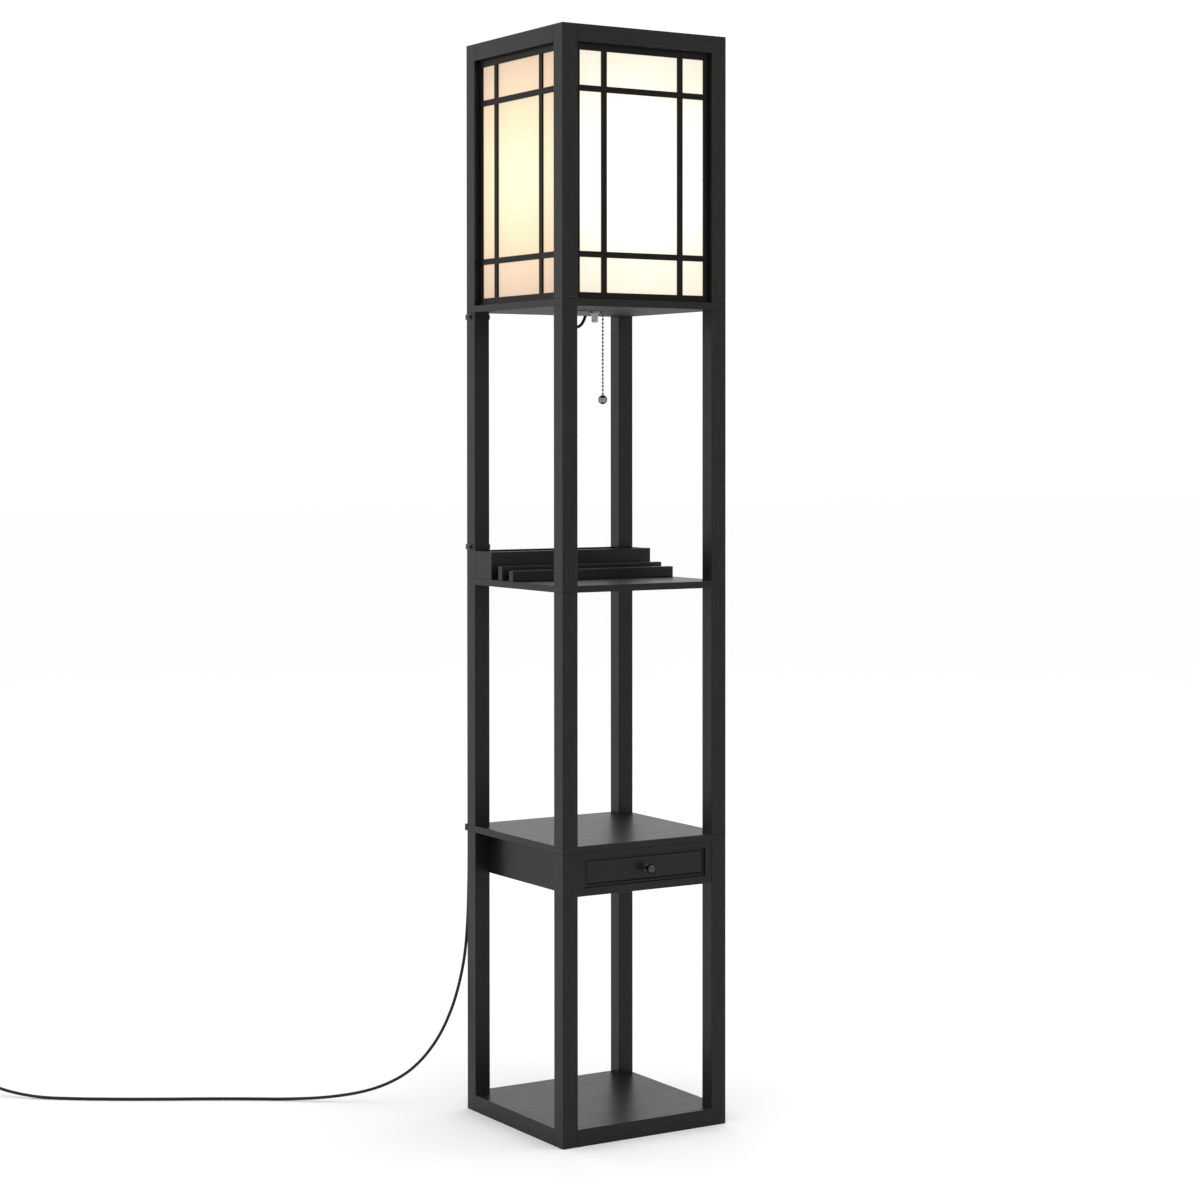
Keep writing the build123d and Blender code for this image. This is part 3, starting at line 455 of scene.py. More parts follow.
@dataclass(frozen=True)
class Speckled(Finish):
    """One colour under one fine pattern that varies its gloss and its height."""

    colour: str
    roughness: float
    specular_level: float = 0.5
    cell_mm: float = 0.9
    detail: float = 2.0
    grit: float = 0.6
    swirl: float = 0.0
    span: tuple[float, float] = (0.0, 1.0)
    swing: tuple[float, float] = (-0.07, 0.07)
    bump: float = 0.12
    depth_mm: float = 0.1

    def look(self, tree: Tree, place: Socket) -> Look:
        """Vary gloss and height with the pattern."""
        noise = {"Detail": self.detail, "Roughness": self.grit, "Distortion": self.swirl}
        noise["Scale"] = per_metre(self.cell_mm)
        pattern = add_node(tree, "TexNoise", noise, {"Vector": place}).outputs["Fac"]
        gloss = (self.roughness + self.swing[0], self.roughness + self.swing[1])
        constants = {"Base Color": linear(self.colour), "Specular IOR Level": self.specular_level}
        return constants, relief(tree, pattern, gloss, self.bump, self.depth_mm, self.span)


@dataclass(frozen=True)
class Moulded(Speckled):
    """Moulded or extruded plastic or rubber.

    The eye gets a dull, even colour with the texture of a spark-eroded mould. A real one is about 0.1 mm
    fine; it is drawn coarser, so that it shows in a close view.
    """


@dataclass(frozen=True)
class PlatedSteel(Speckled):
    """Turned, drawn or stamped metal with a plated or bare finish.

    The eye gets sharp highlights on a coloured metal, broken by handling marks. Real marks are about
    0.2 mm wide; they are drawn coarser, so that they show.
    """

    # The colour that the metal turns to at grazing angles. A dark one paints a dark reflection on the rims.
    rim_colour: str = "FFFFFF"
    cell_mm: float = 1.4
    detail: float = 5.0
    grit: float = 0.7
    swirl: float = 0.6
    span: tuple[float, float] = (0.3, 0.75)
    swing: tuple[float, float] = (0.0, 0.16)
    bump: float = 0.06
    depth_mm: float = 0.05

    def look(self, tree: Tree, place: Socket) -> Look:
        """Make the surface a metal."""
        constants, links = super().look(tree, place)
        return {**constants, "Specular Tint": linear(self.rim_colour), "Metallic": 1.0}, links


@dataclass(frozen=True)
class FrostedBulbGlass(Speckled):
    """Soda-lime bulb glass frosted inside and lit: the eye gets an even warm white ball."""

    name: str = "soda_lime_glass_frosted_lit"
    colour: str = "FFF6E4"
    roughness: float = 0.35
    cell_mm: float = 0.8
    grit: float = 0.5
    swing: tuple[float, float] = (0.0, 0.15)
    bump: float = 0.0
    glow_colour: str = "FFE9C4"
    strength: float = 3.0

    def look(self, tree: Tree, place: Socket) -> Look:
        """Let the glass glow."""
        constants, links = super().look(tree, place)
        glow = {"Emission Color": linear(self.glow_colour), "Emission Strength": self.strength}
        return {**constants, **glow}, links


@dataclass(frozen=True)
class PlainBeech(Finish):
    """Turned beech dowel: the eye gets pale wood with short dark flecks."""

    name: str = "beech_fluted"
    fleck_mm: float = 1.2

    def look(self, tree: Tree, place: Socket) -> Look:
        """Fleck the wood."""
        fleck = add_node(
            tree, "TexNoise", {"Scale": per_metre(self.fleck_mm), "Detail": 3.0}, {"Vector": place}
        ).outputs["Fac"]
        stops = ((0.4, "C9A77A"), (0.65, "A27E54"))
        colour = add_node(tree, "ValToRGB", {"stops": stops}, {"Fac": fleck})
        return {"Roughness": 0.6}, {"Base Color": colour.outputs["Color"]}


@dataclass(frozen=True)
class MattStudioPaint(Finish):
    """Matt pale paint of a studio floor: the eye gets a plain ground that takes soft shadows."""

    name: str = "studio_floor_paint"

    def look(self, tree: Tree, place: Socket) -> Look:
        """Leave the paint plain."""
        return {"Base Color": linear("F9F9F9"), "Roughness": 0.7, "Specular IOR Level": 0.1}, {}


def dress(names: list[str], material: Material) -> None:
    """Give CAD nodes a material in all of their slots.

    Args:
        names: The CAD nodes.
        material: The material they get.
    """
    for name in names:
        mesh = NODES[name].data
        mesh.materials.clear()
        mesh.materials.append(material)


def spline_curve(name: str, points: list[Point], diameter: float, material: Material) -> Object:
    """A round cord along one open NURBS spline.

    Args:
        name: The piece's name.
        points: The spline's control points, in metres.
        diameter: The cord's diameter, in metres.
        material: Its material.

    Returns:
        The new curve object, linked to the scene.
    """
    curve = bpy.data.curves.new(name, "CURVE")
    curve.dimensions = "3D"
    curve.resolution_u = 10
    curve.bevel_depth = diameter / 2
    curve.bevel_resolution = 4
    curve.use_fill_caps = True
    spline = curve.splines.new("NURBS")
    spline.points.add(len(points) - 1)
    for control, point in zip(spline.points, points):
        control.co = (*point, 1.0)
    spline.order_u = 3
    spline.use_endpoint_u = True
    curve.materials.append(material)
    piece = bpy.data.objects.new(name, curve)
    bpy.context.scene.collection.objects.link(piece)
    return piece


def keep_smooth_by_angle(shape: Shape, limit: float = math.radians(35)) -> None:
    """Shade faces smooth, and keep an edge sharp where its faces turn by more than the limit.

    Args:
        shape: The shape to mark.
        limit: The largest turn that still reads as one smooth surface.
    """
    for face in shape.faces:
        face.smooth = True
    for edge in shape.edges:
        edge.smooth = edge.calc_face_angle(math.pi) < limit


def turned(shape: Shape, profile: Profile, steps: int = 48) -> list[Corner]:
    """Spin a profile round +Z, as a lathe would.

    Args:
        shape: The shape to add to.
        profile: Radius and height of each point, in millimetres.
        steps: How many flats a full turn has.

    Returns:
        The new vertices.
    """
    old = set(shape.verts)
    points = [shape.verts.new((radius, 0.0, height)) for radius, height in profile]
    lines = [shape.edges.new(pair) for pair in zip(points, points[1:])]
    bmesh.ops.spin(
        shape,
        geom=points + lines,
        cent=(0.0, 0.0, 0.0),
        axis=(0.0, 0.0, 1.0),
        angle=2 * math.pi,
        steps=steps,
        use_merge=True,
    )
    bmesh.ops.remove_doubles(shape, verts=[v for v in shape.verts if v not in old], dist=1e-4)
    return [v for v in shape.verts if v not in old]


def sink(shape: Shape, faces: list[Face], move: Vector) -> None:
    """Press a patch of faces in, with walls round it.

    Args:
        shape: The shape that the faces belong to.
        faces: The faces to press in.
        move: How far, and which way.
    """
    pressed = bmesh.ops.extrude_face_region(shape, geom=faces)["geom"]
    corners = [item for item in pressed if isinstance(item, Corner)]
    bmesh.ops.translate(shape, verts=corners, vec=move)
    bmesh.ops.delete(shape, geom=[face for face in faces if face.is_valid], context="FACES")


def score_faces(shape: Shape, faces: list[Face], point: Point, normal: Point) -> None:
    """Cut a line into some faces where a plane meets them.

    Args:
        shape: The shape that the faces belong to.
        faces: The faces to cut.
        point: A point of the plane.
        normal: The way that the plane faces.
    """
    edges = dict.fromkeys(edge for face in faces for edge in face.edges)
    corners = dict.fromkeys(corner for face in faces for corner in face.verts)
    bmesh.ops.bisect_plane(
        shape, geom=[*faces, *edges, *corners], dist=1e-4, plane_co=point, plane_no=normal
    )


def round_edges(shape: Shape, edges: list[Edge], radius: float, segments: int) -> None:
    """Round some edges off.

    Args:
        shape: The shape that the edges belong to.
        edges: The edges to round.
        radius: The radius of the rounding.
        segments: How many flats the rounding has.
    """
    bmesh.ops.bevel(
        shape,
        geom=edges,
        offset=radius,
        offset_type="OFFSET",
        segments=segments,
        profile=0.5,
        affect="EDGES",
        material=-1,
    )


def arc_points(centre: tuple[float, float], radius: float, start: float, end: float, steps: int) -> Profile:
    """Points of an arc in a profile.

    Args:
        centre: Radius and height of the arc's middle, in millimetres.
        radius: The arc's radius, in millimetres.
        start: The angle of the first point above the level, in degrees.
        end: The angle of the last point, in degrees.
        steps: How many chords the arc has.

    Returns:
        The points, both ends among them.
    """
    angles = [math.radians(start + (end - start) * index / steps) for index in range(steps + 1)]
    return [(centre[0] + radius * math.cos(a), centre[1] + radius * math.sin(a)) for a in angles]


def thread_points(radius: float, depth: float, pitch: float, start: float, end: float) -> Profile:
    """Points of a V-thread in a profile, drawn as rings.

    Args:
        radius: The crest's radius, in millimetres.
        depth: How deep the roots are.
        pitch: The distance between crests.
        start: The height of the first crest.
        end: The height the thread must stay below.

    Returns:
        Crests and roots in turn.
    """
    turns = int((end - start) / pitch)
    points = []
    for turn in range(turns):
        points += [(radius, start + turn * pitch), (radius - depth, start + (turn + 0.5) * pitch)]
    return points + [(radius, start + turns * pitch)]


def stand_at(origin: Point, way: Vector) -> Matrix:
    """Matrix that stands a shape made along +Z in millimetres at a place, pointing a given way.

    Args:
        origin: The place, in metres.
        way: Where +Z goes.

    Returns:
        The matrix, with the millimetres turned to metres.
    """
    turn = way.to_track_quat("Z", "Y").to_matrix().to_4x4()
    return Matrix.Translation(origin) @ turn @ Matrix.Scale(MM, 4)


@dataclass(frozen=True)
class Fitting:
    """A modelled piece that takes the place of a CAD node.

    Attributes:
        name: The piece's name.
        material: Its material.
        body: The CAD body that it rides.
        slot: The record's material slot; not used.
        stands_for: The CAD node that it replaces.
    """

    name: str
    material: Material
    body: str
    slot: str
    stands_for: str

    def finish(self, shape: Shape) -> Object:
        """Turn a shape into the piece.

        Args:
            shape: The piece's shape in the CAD frame, which is freed.

        Returns:
            The new object.
        """
        bmesh.ops.recalc_face_normals(shape, faces=shape.faces)
        keep_smooth_by_angle(shape)
        mesh = bpy.data.meshes.new(self.name)
        shape.to_mesh(mesh)
        shape.free()
        mesh.materials.append(self.material)
        piece = bpy.data.objects.new(self.name, mesh)
        bpy.context.scene.collection.objects.link(piece)
        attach(piece, self.body)
        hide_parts(self.stands_for)
        return piece

    def turn(self, profile: Profile, place: Matrix, steps: int = 48) -> Object:
        """Make the piece by turning one profile.

        Args:
            profile: Radius and height of each point, in millimetres.
            place: Where the profile's axis stands.
            steps: How many flats a full turn has.

        Returns:
            The new object.
        """
        shape = bmesh.new()
        turned(shape, profile, steps)
        bmesh.ops.transform(shape, matrix=place, verts=shape.verts)
        return self.finish(shape)


class Assembly:
    """Pieces of the lamp that share one job."""

    def looks(self, finishes: "Finishes") -> NodeLooks:
        """Say which CAD nodes get which finish.

        Args:
            finishes: The lamp's finishes.

        Returns:
            Materials, each with its CAD nodes.
        """
        return []

    def build(self, finishes: "Finishes") -> None:
        """Model the pieces that take the place of a CAD node, where there are any.

        Args:
            finishes: The lamp's finishes.
        """


class Tower(Assembly):
    """The stand: base, posts, shelf boards and the top frame."""

    def looks(self, finishes: "Finishes") -> NodeLooks:
        """Lacquer every board with its grain the right way."""
        posts = [f"{bay}_posts" for bay in ("lower", "middle", "upper", "lantern")]
        boards = ["base_panel", "lower_shelf", "middle_shelf", "lantern_board"]
        return [
            (finishes.lacquer_z, [*posts, "top_corner_blocks"]),
            (finishes.lacquer_x, [*boards, "base_rail_front", "base_rail_back"]),
            (finishes.lacquer_y, ["base_rail_left", "base_rail_right"]),
            (finishes.lacquer_round, ["top_rails"]),
            (finishes.zinc, ["joint_studs"]),
            (finishes.beech, ["rail_dowels"]),
        ]


@dataclass
class DrawerUnit(Assembly):
    """The drawer, its case and its knob. Sizes are in millimetres, and places in metres."""

    knob_place: Point = (0.0, -0.1394, 0.3905)
    # Radius and height of each point of the stepped foot and the hollow neck.
    knob_foot: FixedProfile = (
        (0.0, 0.0), (5.7, 0.0), (6.0, 0.3), (6.0, 1.3), (5.7, 1.6),
        (4.8, 1.6), (4.5, 3.0), (3.2, 3.5), (2.7, 4.8), (2.7, 6.2),
    )
    ball_radius: float = 7.1
    ball_start: float = -65.0
    ball_steps: int = 28
    knob_reach: float = 22.0

    def looks(self, finishes: "Finishes") -> NodeLooks:
        """Lacquer what shows and stain the drawer's box."""
        return [
            (finishes.lacquer_x, ["case_front_frame", "case_back", "case_bottom", "drawer_front"]),
            (finishes.lacquer_y, ["case_sides"]),
            (finishes.stain_y, ["drawer_sides", "drawer_runners"]),
            (finishes.stain_x, ["drawer_back", "drawer_bottom"]),
            (finishes.zinc, ["drawer_knob_screw"]),
        ]

    def build(self, finishes: "Finishes") -> None:
        """Turn the knob: a stepped foot, a hollow neck and a ball."""
        middle = (0.0, self.knob_reach - self.ball_radius)
        ball = arc_points(middle, self.ball_radius, self.ball_start, 90.0, self.ball_steps)
        knob = Fitting("knob_turned", finishes.gunmetal, "drawer", "gunmetal", "drawer_knob")
        knob.turn([*self.knob_foot, *ball], stand_at(self.knob_place, Vector((0.0, -1.0, 0.0))))


class Organiser(Assembly):
    """The open box and the two stepped rails on the middle shelf."""

    def looks(self, finishes: "Finishes") -> NodeLooks:
        """Lacquer every board with its grain the right way."""
        boards = [f"organiser_{part}" for part in ("back_board", "front_board", "middle_rail", "front_rail")]
        return [(finishes.lacquer_x, boards), (finishes.lacquer_y, ["organiser_end_boards"])]


@dataclass
class Lantern(Assembly):
    """The lattice panels, their lit sheets and the lampholder with its bulb.

    Sizes are in millimetres, and heights that end in ``_z`` in metres.
    """

    nipple_foot_z: float = 1.1835
    nipple_length: float = 32.5
    nipple_radius: float = 5.0
    nipple_bore: float = 3.0
    nipple_round: float = 1.5
    nipple_chamfer: float = 0.4
    nipple_pitch: float = 1.0
    nipple_thread_depth: float = 0.35
    nipple_plain_end: float = 0.5
    shell_foot_z: float = 1.262
    # Radius and height of each point of the shell, below its ridges and above them.
    shell_foot: FixedProfile = ((0.0, 0.0), (17.6, 0.0), (18.0, 0.4), (18.0, 9.0))
    shell_top: FixedProfile = (
        (18.0, 31.2), (17.2, 32.0), (15.3, 32.0), (14.5, 31.2), (14.5, 6.0), (0.0, 6.0),
    )
    # Each point of a ridge, from the height where it starts.
    ridge: FixedProfile = ((17.1, 0.0), (17.1, 1.0), (18.0, 1.5), (18.0, 2.5))
    ridge_starts: tuple[float, ...] = (10.0, 13.0, 16.0, 19.0, 22.0, 25.0)

    def looks(self, finishes: "Finishes") -> NodeLooks:
        """Give the lattice, the sheets and the lampholder their finishes."""
        panels = [f"lantern_panel_{side}" for side in ("front", "right", "back", "left")]
        return [
            (finishes.lattice, panels),
            (finishes.paper, ["diffuser_sheets"]),
            (finishes.phenolic, ["lampholder_cap", "switch_body"]),
            (finishes.zinc, ["nipple_nuts"]),
            (finishes.nickel, ["bulb_screw_cap"]),
            (finishes.bulb_glass, ["bulb_globe"]),
        ]

    def build(self, finishes: "Finishes") -> None:
        """Turn the nipple and the shell of the lampholder."""
        up = Vector((0.0, 0.0, 1.0))
        nipple = Fitting("nipple_threaded", finishes.pale_zinc, "stand", "zinc_steel", "lampholder_nipple")
        nipple.turn(self._nipple_profile(), stand_at((0.0, 0.0, self.nipple_foot_z), up))
        shell = Fitting(
            "shell_ridged", finishes.phenolic, "stand", "holder_black_plastic", "lampholder_shell"
        )
        shell.turn(self._shell_profile(), stand_at((0.0, 0.0, self.shell_foot_z), up), steps=64)

    def _nipple_profile(self) -> Profile:
        """The hollow threaded nipple that hangs below the board with a rounded end.

        Returns:
            Radius and height of each point.
        """
        bore, radius, top, end = self.nipple_bore, self.nipple_radius, self.nipple_length, self.nipple_round
        plain = self.nipple_plain_end
        profile = [(bore, top), (bore, 0.0)]
        profile += arc_points((radius - end, end), end, -90.0, 0.0, 6)
        profile += thread_points(
            radius, self.nipple_thread_depth, self.nipple_pitch, end + plain, top - plain
        )
        return profile + [(radius - self.nipple_chamfer, top), (bore, top)]

    def _shell_profile(self) -> Profile:
        """The lampholder's outer shell, with the coarse thread that takes a shade ring.

        Returns:
            Radius and height of each point.
        """
        ridges = [(radius, start + height) for start in self.ridge_starts for radius, height in self.ridge]
        return [*self.shell_foot, *ridges, *self.shell_top]


class PullSwitch(Assembly):
    """The pull chain with its guide, rod and ball."""

    def looks(self, finishes: "Finishes") -> NodeLooks:
        """Plate the metal of the pull."""
        pull = [f"pull_{part}" for part in ("rod", "chain_upper", "chain_lower", "ball")]
        return [(finishes.nickel, ["chain_guide", *pull])]


@dataclass
class ClipScrews(Assembly):
    """The screws of the cord clips: raised heads with a cross recess. Sizes are in millimetres."""

    # Where each screw enters the wood, in metres, and the way that it points out.
    places: tuple[tuple[Point, Point], ...] = (
        ((-0.140, 0.128, 0.8485), (-1.0, 0.0, 0.0)),
        ((-0.115, 0.119, 0.8485), (1.0, 0.0, 0.0)),
        ((-0.140, 0.128, 1.1935), (-1.0, 0.0, 0.0)),
        ((-0.115, 0.119, 1.1935), (1.0, 0.0, 0.0)),
        ((-0.116, 0.140, 0.425), (0.0, 1.0, 0.0)),
    )
    strap: float = 1.3
    shank_reach: float = 7.7
    shank_radius: float = 1.25
    shank_tip: float = 0.9
    thread_depth: float = 0.3
    thread_pitch: float = 1.0
    thread_start: float = 0.5
    thread_end: float = 0.6
    # Radius and height above the strap of each point of the head.
    head: FixedProfile = ((2.5, 0.0), (2.5, 0.45), (2.25, 0.95), (1.6, 1.45), (0.9, 1.7), (0.0, 1.8))
    head_top: float = 1.0
    recess_radius: float = 1.6
    recess_half_width: float = 0.38
    recess_depth: float = 0.9

    def build(self, finishes: "Finishes") -> None:
        """Turn and recess every screw, as one group like the CAD node."""
        shape = bmesh.new()
        for origin, way in self.places:
            self._add_screw(shape, stand_at(origin, Vector(way)))
        screws = Fitting(
            "clip_screws_recessed", finishes.black_screw, "stand", "black_screw_steel", "clip_screws"
        )
        screws.finish(shape)

    def _add_screw(self, shape: Shape, place: Matrix) -> None:
        """Add one screw.

        Args:
            shape: The shape to add to.
            place: Where the screw enters the wood, pointing out.
        """
        foot, seat = -self.shank_reach, self.strap
        start, end = foot + self.thread_start, seat - self.thread_end
        profile = [(0.0, foot), (self.shank_tip, foot)]
        profile += thread_points(self.shank_radius, self.thread_depth, self.thread_pitch, start, end)
        profile.append((self.shank_radius, seat))
        profile += [(radius, seat + height) for radius, height in self.head]
        screw = bmesh.new()
        turned(screw, profile, 24)
        self._cut_recess(screw, seat + self.head_top)
        bmesh.ops.transform(screw, matrix=place, verts=screw.verts)
        mesh = bpy.data.meshes.new("one_screw")
        screw.to_mesh(mesh)
        screw.free()
        shape.from_mesh(mesh)
        bpy.data.meshes.remove(mesh)

    def _cut_recess(self, screw: Shape, above: float) -> None:
        """Sink the cross into the top of the head.

        Args:
            screw: The screw, standing along +Z.
            above: The height that only the top of the head is above.
        """
        half = self.recess_half_width
        for way in ((1.0, 0.0, 0.0), (0.0, 1.0, 0.0)):
            for offset in (-half, half):
                top = [face for face in screw.faces if face.calc_center_median().z > above]
                score_faces(screw, top, tuple(offset * part for part in way), way)
        cross = []
        for face in screw.faces:
            middle = face.calc_center_median()
            in_arm = min(abs(middle.x), abs(middle.y)) < half
            if middle.z > above and middle.xy.length < self.recess_radius and in_arm:
                cross.append(face)
        sink(screw, cross, Vector((0.0, 0.0, -self.recess_depth)))


@dataclass
class MainsPlug:
    """The moulded plug: a rounded body with grip bars and a ringed boot. Sizes are in millimetres."""

    boot_length: float = 22.0
    boot_small_radius: float = 3.4
    boot_large_radius: float = 5.5
    boot_rings: int = 7
    boot_edge: float = 0.2
    boot_slot_depth: float = 0.9
    boot_slot_width: float = 0.8
    body_length: float = 25.0
    body_width: float = 24.0
    body_height: float = 12.2
    body_corner: float = 4.0
    end_round: float = 1.0
    grip_half_width: float = 6.5
    grip_pitch: float = 3.0
    grip_depth: float = 0.6
    grip_margin: float = 7.0

    def build(self, finishes: "Finishes", start: Vector, way: Vector) -> Object:
        """Mould the plug.

        Args:
            finishes: The lamp's finishes.
            start: Where the lead enters the boot.
            way: The level way from the lead to the blades.

        Returns:
            The plug.
        """
        shape = bmesh.new()
        self._add_body(shape)
        turned(shape, self._boot_profile(), 32)
        across = Vector((-way.y, way.x, 0.0))
        turn = Matrix((across, way.cross(across), way)).transposed().to_4x4()
        place = Matrix.Translation(start) @ turn @ Matrix.Scale(MM, 4)
        bmesh.ops.transform(shape, matrix=place, verts=shape.verts)
        plug = Fitting("plug_moulded", finishes.plug_vinyl, "stand", "plug_plastic", "plug_body")
        return plug.finish(shape)

    def _boot_profile(self) -> Profile:
        """The boot: a cone of rings with slots between them.

        Returns:
            Radius and height of each point.
        """
        ring = self.boot_length / self.boot_rings
        profile = [(0.0, 0.0)]
        for index in range(self.boot_rings):
            share = index / (self.boot_rings - 1)
            radius = self.boot_small_radius + (self.boot_large_radius - self.boot_small_radius) * share
            root, foot = radius - self.boot_slot_depth, index * ring
            slot = foot + ring - self.boot_slot_width
            profile += [(radius - self.boot_edge, foot), (radius, foot + self.boot_edge)]
            profile += [(radius, slot - self.boot_edge), (root, slot), (root, foot + ring)]
        return profile + [(0.0, self.boot_length)]

    def _add_body(self, shape: Shape) -> None:
        """Add the body: a block with rounded corners and ends, and grip bars left between sunk strips.

        Args:
            shape: The shape to add to, with nothing in it yet.
        """
        middle = self.boot_length + self.body_length / 2
        size = Matrix.Diagonal((self.body_width, self.body_height, self.body_length, 1.0))
        bmesh.ops.create_cube(shape, size=1.0, matrix=Matrix.Translation((0.0, 0.0, middle)) @ size)
        corners = []
        for edge in shape.edges:
            one, other = edge.verts
            if abs(one.co.z - other.co.z) > self.body_length / 2:
                corners.append(edge)
        round_edges(shape, corners, self.body_corner, 6)
        ends = [face for face in shape.faces if abs(face.normal.z) > 0.9]
        rims = list(dict.fromkeys(edge for face in ends for edge in face.edges))
        round_edges(shape, rims, self.end_round, 3)
        self._sink_grips(shape, middle)

    def _sink_grips(self, shape: Shape, middle: float) -> None:
        """Sink strips into both broad sides, so that bars are left between them.

        Args:
            shape: The shape with the body.
            middle: The height of the body's middle.
        """
        strips = int((self.body_length - self.grip_margin) / self.grip_pitch)
        width = self.grip_pitch / 2
        foot = middle - strips * width
        cuts = [((0.0, 0.0, foot + index * width), (0.0, 0.0, 1.0)) for index in range(2 * strips)]
        cuts += [((side * self.grip_half_width, 0.0, 0.0), (1.0, 0.0, 0.0)) for side in (-1, 1)]
        for point, normal in cuts:
            broad = [face for face in shape.faces if abs(face.normal.y) > 0.99]
            score_faces(shape, broad, point, normal)
        for side in (-1, 1):
            sunk = []
            for face in shape.faces:
                centre = face.calc_center_median()
                strip = (centre.z - foot) / width
                in_strips = 0 < strip < 2 * strips - 1 and int(strip) % 2 == 0
                on_side = abs(centre.y - side * self.body_height / 2) < 0.001
                if on_side and in_strips and abs(centre.x) < self.grip_half_width:
                    sunk.append(face)
            sink(shape, sunk, Vector((0.0, -side * self.grip_depth, 0.0)))


@dataclass
class MainsLead(Assembly):
    """The lead: held from the lampholder down the back left post, then free to its coil and plug."""

    diameter: float = 4.6 * MM
    held_length: float = 1.081
    free_length: float = 1.848
    down_x: float = -0.112
    down_y: float = 0.1426
    low_x: float = -0.1345
    low_y: float = 0.1444
    low_clip_z: float = 0.425
    coil_radius: float = 0.025
    coil_turns: float = 4.5
    coil_pitch: float = 0.0049
    top_turn_z: float = 0.02555
    points_per_turn: int = 16
    boot_small_diameter: float = 6.8 * MM
    touch_gap: float = 0.3 * MM
    plug_z: float = 0.0061
    plug_run: float = 0.006
    plug_dip: float = 0.0008

    def held_route(self) -> list[Point]:
        """Lay the held stretch, from the switch to the lowest clip.

        Returns:
            Its control points, as in the CAD part.
        """
        return [
            (-0.011, 0.0, 1.2421),
            (-0.011, 0.0, 1.176),
            (-0.055, 0.0, 1.176),
            (-0.055, 0.0, 1.234),
            (-0.085, 0.040, 1.228),
            (self.down_x, 0.1055, 1.2129),
            (self.down_x, self.down_y, 1.2129),
            (self.down_x, self.down_y, 1.1758),
            (self.down_x, self.down_y, 0.8355),
            (self.down_x, self.down_y, 0.8235),
            (-0.1127, 0.1427, 0.8115),
            (-0.1338, 0.1443, 0.4620),
            (self.low_x, self.low_y, 0.450),
            (self.low_x, self.low_y, self.low_clip_z),
        ]

    def free_route(self) -> list[Point]:
        """Lay the free stretch, from the lowest clip to the start of the coil.

        Returns:
            Its control points, as in the CAD part.
        """
        return [
            (self.low_x, self.low_y, self.low_clip_z),
            (self.low_x, self.low_y, 0.380),
            (-0.1350, 0.1450, 0.330),
            (-0.1360, 0.1463, 0.280),
            (-0.1390, 0.1493, 0.230),
            (-0.1452, 0.1555, 0.187),
            (-0.1535, 0.1642, 0.147),
            (-0.1685, 0.1796, 0.101),
            (-0.1909, 0.2028, 0.060),
            (-0.2165, 0.2270, 0.034),
            (-0.2535, 0.254, 0.016),
            (-0.3025, 0.289, 0.006),
            (-0.3525, 0.326, 0.0024),
            (-0.4045, 0.362, 0.0024),
            (-0.4595, 0.396, 0.0024),
            (-0.5155, 0.428, 0.0024),
            (-0.5705, 0.462, 0.0024),
            (-0.6235, 0.498, 0.0024),
            (-0.6735, 0.539, 0.0024),
            (-0.7145, 0.588, 0.010),
            (-0.7435, 0.638, self.top_turn_z),
        ]

    def coil_middle(self, route: list[Point]) -> tuple[Vector, Vector, Vector]:
        """Where the coil lies: it turns to the left of the lead's last run.

        Args:
            route: The free stretch that the coil goes on from.

        Returns:
            The coil's middle, the way of the last run and the way to the left of it.
        """
        last, before = Vector(route[-1]), Vector(route[-2])
        way = (last - before).xy.normalized().to_3d()
        left = Vector((-way.y, way.x, 0.0))
        outer, inner = self.coil_radius + self.diameter / 2, self.coil_radius - self.diameter / 2
        reach = math.sqrt((outer + self.touch_gap) ** 2 - inner**2)
        return last + way * reach + left * self.coil_radius, way, left

    def plug_place(self, route: list[Point]) -> tuple[Vector, Vector]:
        """Where the lead enters the plug, and the way the plug lies.

        Args:
            route: The free stretch that the coil goes on from.

        Returns:
            The point and the way.
        """
        middle, way, left = self.coil_middle(route)
        outer, inner = self.coil_radius + self.diameter / 2, self.coil_radius - self.boot_small_diameter / 2
        start = middle + left * self.coil_radius - way * math.sqrt((outer + self.touch_gap) ** 2 - inner**2)
        start.z = self.plug_z
        return start, -way

    def coil_route(self, route: list[Point]) -> list[Point]:
        """Control points of the coil's turns and of the short run into the plug.

        Args:
            route: The free stretch that the coil goes on from.

        Returns:
            The points after the route's last one.
        """
        middle, way, _ = self.coil_middle(route)
        angle = math.atan2(way.y, way.x)
        step = 2 * math.pi / self.points_per_turn
        corner_radius = self.coil_radius / math.cos(step / 2)
        points = []
        for index in range(round(self.coil_turns * self.points_per_turn)):
            turned_by = angle - math.pi / 2 + step * (index + 0.5)
            drop = self.coil_pitch * (index + 0.5) / self.points_per_turn
            points.append(
                (
                    middle.x + corner_radius * math.cos(turned_by),
                    middle.y + corner_radius * math.sin(turned_by),
                    self.top_turn_z - drop,
                )
            )
        start, plug_way = self.plug_place(route)
        near = start - plug_way * self.plug_run
        points.append((near.x, near.y, self.plug_z - self.plug_dip))
        points.append(tuple(start))
        return points

    def looks(self, finishes: "Finishes") -> NodeLooks:
        """Give the fittings of the lead their finishes."""
        return [
            (finishes.rubber, ["cord_grommet"]),
            (finishes.grey_plastic, ["cord_clamp"]),
            (finishes.nylon, ["cord_clips", "cord_tie"]),
            (finishes.brass, ["plug_blades"]),
        ]

    def build(self, finishes: "Finishes") -> None:
        """Lay both stretches with the plug."""
        held = spline_curve("lamp_lead", self.held_route(), self.diameter, finishes.jacket)
        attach(held, "stand")
        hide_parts("lamp_cord")
        route = self.free_route()
        free = spline_curve("mains_lead", route + self.coil_route(route), self.diameter, finishes.jacket)
        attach(free, "stand")
        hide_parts("power_cord", "cord_coil")
        plug = MainsPlug().build(finishes, *self.plug_place(route))


